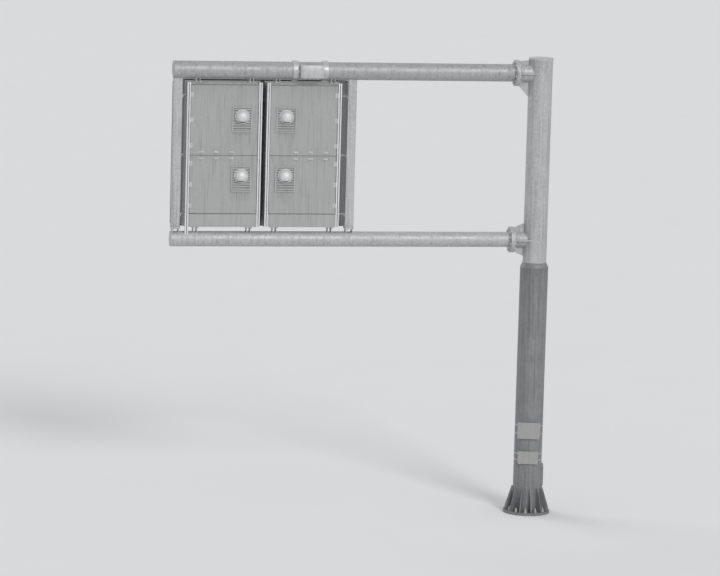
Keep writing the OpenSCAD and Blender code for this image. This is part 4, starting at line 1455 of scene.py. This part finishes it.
class GANTRY_OT_displays(bpy.types.Operator):
    """Panels, lenses and sun fins of the two displays"""

    bl_idname = "gantry.displays"
    bl_label = "Displays"

    def execute(self, context):
        size = context.scene.gantry_display
        pitch = size.lens_pitch
        width, height = pitch * (size.columns - 1), pitch * (size.rows - 1)
        across, up = 3, 5
        tile_w, tile_h = pitch * size.columns / across, pitch * size.rows / up
        face, back = DISPLAY_FACE_Y - 0.0045, DISPLAY_FACE_Y + 0.0005
        for name, x in DISPLAYS:
            bm = bmesh.new()
            for i in range(across):
                for j in range(up):
                    left = x + (i - across / 2) * tile_w
                    low = DISPLAY_Z + (j - up / 2) * tile_h
                    block(bm, (left + 0.001, face, low + 0.001),
                          (left + tile_w - 0.001, back, low + tile_h - 0.001), 0.0012)
            make_piece(name + "_display_tiles", bm, finish("black module"))

            bm = bmesh.new()
            disc(bm, size.lens_d / 2, 0.0, 0.0045, segments=8, top=size.lens_d * 0.26)
            corner = (x - width / 2, face + 0.0002, DISPLAY_Z - height / 2)
            bmesh.ops.transform(bm, matrix=place(corner, FRONTWARD, math.pi / 8), verts=bm.verts[:])
            lens = make_piece(name + "_display_lenses", bm, finish("clear lens"), angle=60)
            repeat(lens, "columns", size.columns, (pitch, 0, 0))
            repeat(lens, "rows", size.rows, (0, 0, pitch))

            bm = bmesh.new()
            low = DISPLAY_Z - height / 2 + pitch / 2
            block(bm, (x - width / 2 - pitch / 2, face - 0.0085, low - 0.0007),
                  (x + width / 2 + pitch / 2, face + 0.0005, low + 0.0007))
            fins = make_piece(name + "_display_fins", bm, finish("black module"))
            repeat(fins, "rows", size.rows, (0, 0, pitch))
        return {"FINISHED"}


class GANTRY_OT_lanterns(bpy.types.Operator):
    """Ribbed amber lenses of the four warning lanterns, each with its bezel and screws"""

    bl_idname = "gantry.lanterns"
    bl_label = "Warning lanterns"

    @staticmethod
    def ribbed_lens():
        """A domed lens with twelve ring ribs."""
        bm = bmesh.new()
        points = [(0.0, 0.016)]
        for i in range(1, 13):
            rib = 0.094 * i / 12
            swell = 0.016 * (1 - (rib / 0.105) ** 2)
            points += [(rib - 0.0015, swell + 0.0022), (rib, swell)]
        lathe(bm, points + [(0.096, 0.0), (0.0, 0.0)], 48)
        return template(bm)

    def execute(self, context):
        lens = self.ribbed_lens()
        bezel = bmesh.new()
        lathe(bezel, [(0.0945, 0.0), (0.0945, 0.006), (0.0965, 0.008), (0.1010, 0.008), (0.1030, 0.006),
                      (0.1030, 0.0), (0.0945, 0.0)], 48)
        bezel = template(bezel)
        screw = dome_head(0.007, 0.002, 8)
        screws = [(0.0988 * math.cos(angle), 0.0988 * math.sin(angle)) for angle in around(6)]
        amber, rims = bmesh.new(), bmesh.new()
        for x, z in LANTERNS:
            stamp(amber, lens, place((x, LENS_Y, z), FRONTWARD))
            stamp(rims, bezel, place((x, LENS_Y, z), FRONTWARD))
            for dx, dz in screws:
                stamp(rims, screw, place((x + dx, LENS_Y - 0.008, z + dz), FRONTWARD))
        make_piece("lantern_lenses", amber, finish("amber lens"), angle=20)
        make_piece("lantern_bezels", rims, finish("black module"))
        return {"FINISHED"}


class GANTRY_OT_cable_box(bpy.types.Operator):
    """Lid, screws and blanking plugs of the cable box on the upper boom"""

    bl_idname = "gantry.cable_box"
    bl_label = "Cable box fittings"

    def execute(self, context):
        lid_x, lid_z = inside(CABLE_BOX_X, 0.008), inside(CABLE_BOX_Z, 0.008)
        lid_face = CABLE_BOX_Y + 0.009
        bm = bmesh.new()
        block(bm, (lid_x[0], CABLE_BOX_Y - 0.0005, lid_z[0]), (lid_x[1], lid_face, lid_z[1]), 0.003)
        make_piece("cable_box_lid", bm, finish("cable box sheet"))

        bm = bmesh.new()
        screw = socket_head(0.014, 0.006)
        left, right = inside(CABLE_BOX_X, 0.03)
        for x in (left, (left + right) / 2, right):
            for z in inside(CABLE_BOX_Z, 0.03):
                stamp(bm, screw, place((x, lid_face, z), REARWARD, x * 9 + z))
        plug = bmesh.new()
        hexagon(plug, 0.034, -SEAT, 0.010)
        lathe(plug, [(0.0, 0.0095), (0.0135, 0.0095), (0.0135, 0.021), (0.0115, 0.024),
                     (0.0, 0.0255)], 20)
        plug = template(plug)
        for i in range(4):
            at = (CABLE_BOX_X[0] + 0.11 + 0.10 * i, 0.278, CABLE_BOX_Z[0])
            stamp(bm, plug, place(at, DOWN, i * 0.4))
        make_piece("cable_box_fittings", bm, finish("stainless steel"))
        return {"FINISHED"}


class GANTRY_OT_plates(bpy.types.Operator):
    """Rivets of the marker plates and the screw housings of their straps"""

    bl_idname = "gantry.plates"
    bl_label = "Plate fittings"

    def execute(self, context):
        rivet = dome_head(0.012, 0.003)
        housing = bmesh.new()
        block(housing, (MAST_LOW_R + 0.0025, -0.022, -0.011), (MAST_LOW_R + 0.014, 0.022, 0.011), 0.002)
        screw = head_set(0.010, 0.006, washer=0.0055, washer_t=0.002)
        stamp(housing, screw, place((MAST_LOW_R + 0.008, 0.022, 0.0), REARWARD))
        housing = template(housing)
        bm = bmesh.new()
        for z, width, height in PLATES:
            straps = (z - height / 4, z + height / 4)
            for dx in (-0.09, 0.09, 0.035 - width / 2, width / 2 - 0.035):
                for strap_z in straps:
                    stamp(bm, rivet, PLATE_TURN @ place((dx, PLATE_Y, strap_z), REARWARD))
            for strap_z in straps:
                stamp(bm, housing, Matrix.Translation((0, 0, strap_z)) @ STRAP_TURN)
        make_piece("plate_fittings", bm, finish("stainless steel"))
        return {"FINISHED"}


class GANTRY_OT_stage(bpy.types.Operator):
    """Floor, lights and camera"""

    bl_idname = "gantry.stage"
    bl_label = "Stage"

    @staticmethod
    def add_floor(scene, half_width):
        """A wide pale floor."""
        tree, shader, where = new_material("pale floor")
        cloud = noise(tree, where, 0.35, 3.0)
        feed(tree, shader, {
            "Base Color": mix_colour(tree, cloud, (0.81, 0.815, 0.82, 1), (0.83, 0.835, 0.84, 1)),
            "Roughness": 0.9, "Specular IOR Level": 0.1})
        bm = bmesh.new()
        bmesh.ops.create_grid(bm, x_segments=1, y_segments=1, size=half_width)
        mesh = bpy.data.meshes.new("floor")
        bm.to_mesh(mesh)
        bm.free()
        mesh.materials.append(finish("pale floor"))
        floor = bpy.data.objects.new("floor", mesh)
        scene.collection.objects.link(floor)

    @staticmethod
    def add_sky(scene, strength):
        """Even light from all round, in front of a pale backdrop."""
        world = bpy.data.worlds.new("studio")
        scene.world = world
        world.use_nodes = True
        tree = world.node_tree
        output = next(node for node in tree.nodes if node.type == "OUTPUT_WORLD")
        light = next(node for node in tree.nodes if node.type == "BACKGROUND")
        feed(tree, light, {"Color": (0.97, 0.985, 1.0, 1.0), "Strength": strength})
        backdrop = add(tree, "ShaderNodeBackground", {
            "Color": (0.70, 0.705, 0.71, 1.0), "Strength": 1.0})
        rays = add(tree, "ShaderNodeLightPath").outputs
        seen = math_node(tree, "MAXIMUM", rays["Is Camera Ray"], rays["Is Glossy Ray"])
        seen = math_node(tree, "MAXIMUM", seen, rays["Is Transmission Ray"])
        mixed = add(tree, "ShaderNodeMixShader", {0: seen, 1: light.outputs[0], 2: backdrop.outputs[0]})
        tree.links.new(mixed.outputs[0], output.inputs["Surface"])

    @staticmethod
    def add_lamp(scene, name, strength, angle, towards):
        """A distant lamp; towards points from the gantry to the lamp."""
        lamp = bpy.data.lights.new(name, "SUN")
        lamp.energy = strength
        lamp.angle = math.radians(angle)
        holder = bpy.data.objects.new(name, lamp)
        holder.rotation_mode = "QUATERNION"
        holder.rotation_quaternion = Vector(towards).to_track_quat("Z", "Y")
        scene.collection.objects.link(holder)

    @staticmethod
    def add_camera(scene, size):
        """A camera that keeps the booms level across the picture."""
        view = bpy.data.cameras.new("camera")
        view.lens = size.focal
        view.sensor_width = 36.0
        view.clip_start, view.clip_end = 1.0, 2000.0
        camera = bpy.data.objects.new("camera", view)
        camera.location = size.camera_at
        forward = (Vector(size.look_at) - camera.location).normalized()
        boom = Vector(TIPWARD)
        across = (boom - forward * forward.dot(boom)).normalized() * -1
        up = across.cross(forward)
        turn = Matrix((across, up, -forward)).transposed()
        camera.rotation_mode = "QUATERNION"
        camera.rotation_quaternion = turn.to_quaternion()
        scene.collection.objects.link(camera)
        scene.camera = camera

    def execute(self, context):
        scene = context.scene
        size = scene.gantry_stage
        self.add_floor(scene, size.floor_size)
        self.add_sky(scene, size.sky)
        self.add_lamp(scene, "main_light", size.sun, 18.0, (-0.22, 0.85, 0.5))
        self.add_lamp(scene, "fill_light", size.fill, 40.0, (0.7, -0.8, 0.6))
        self.add_camera(scene, size)
        scene.view_settings.view_transform = "Standard"
        return {"FINISHED"}


SETTINGS = {
    "gantry_finishes": GantryFinishes, "gantry_fasteners": GantryFasteners,
    "gantry_display": GantryDisplay, "gantry_stage": GantryStage}
OPERATORS = (
    GANTRY_OT_finishes, GANTRY_OT_steelwork, GANTRY_OT_cabinets, GANTRY_OT_front,
    GANTRY_OT_holding_down, GANTRY_OT_joint_bolts, GANTRY_OT_welds, GANTRY_OT_bracket_bolts,
    GANTRY_OT_access_door, GANTRY_OT_rivets, GANTRY_OT_door_seals, GANTRY_OT_cowls,
    GANTRY_OT_door_fittings, GANTRY_OT_displays, GANTRY_OT_lanterns, GANTRY_OT_cable_box,
    GANTRY_OT_plates, GANTRY_OT_stage)


class GANTRY_PT_panel(bpy.types.Panel):
    """Lists the gantry's colours, sizes and steps"""

    bl_label = "Sign Gantry"
    bl_idname = "GANTRY_PT_panel"
    bl_space_type = "VIEW_3D"
    bl_region_type = "UI"
    bl_category = "Gantry"

    def draw(self, context):
        for key, kind in SETTINGS.items():
            box = self.layout.box()
            for setting in kind.__annotations__:
                box.prop(getattr(context.scene, key), setting)
        for operator in OPERATORS:
            self.layout.operator(operator.bl_idname)


CLASSES = (*SETTINGS.values(), *OPERATORS, GANTRY_PT_panel)


def register():
    """Add the classes and their settings to Blender."""
    for item in CLASSES:
        bpy.utils.register_class(item)
    for key, kind in SETTINGS.items():
        setattr(bpy.types.Scene, key, PointerProperty(type=kind))


def unregister():
    """Take the classes and their settings out of Blender."""
    for key in SETTINGS:
        delattr(bpy.types.Scene, key)
    for item in reversed(CLASSES):
        bpy.utils.unregister_class(item)


def main():
    """Run every step in order."""
    register()
    for operator in OPERATORS:
        group, step = operator.bl_idname.split(".")
        getattr(getattr(bpy.ops, group), step)()


if __name__ == "__main__":
    main()
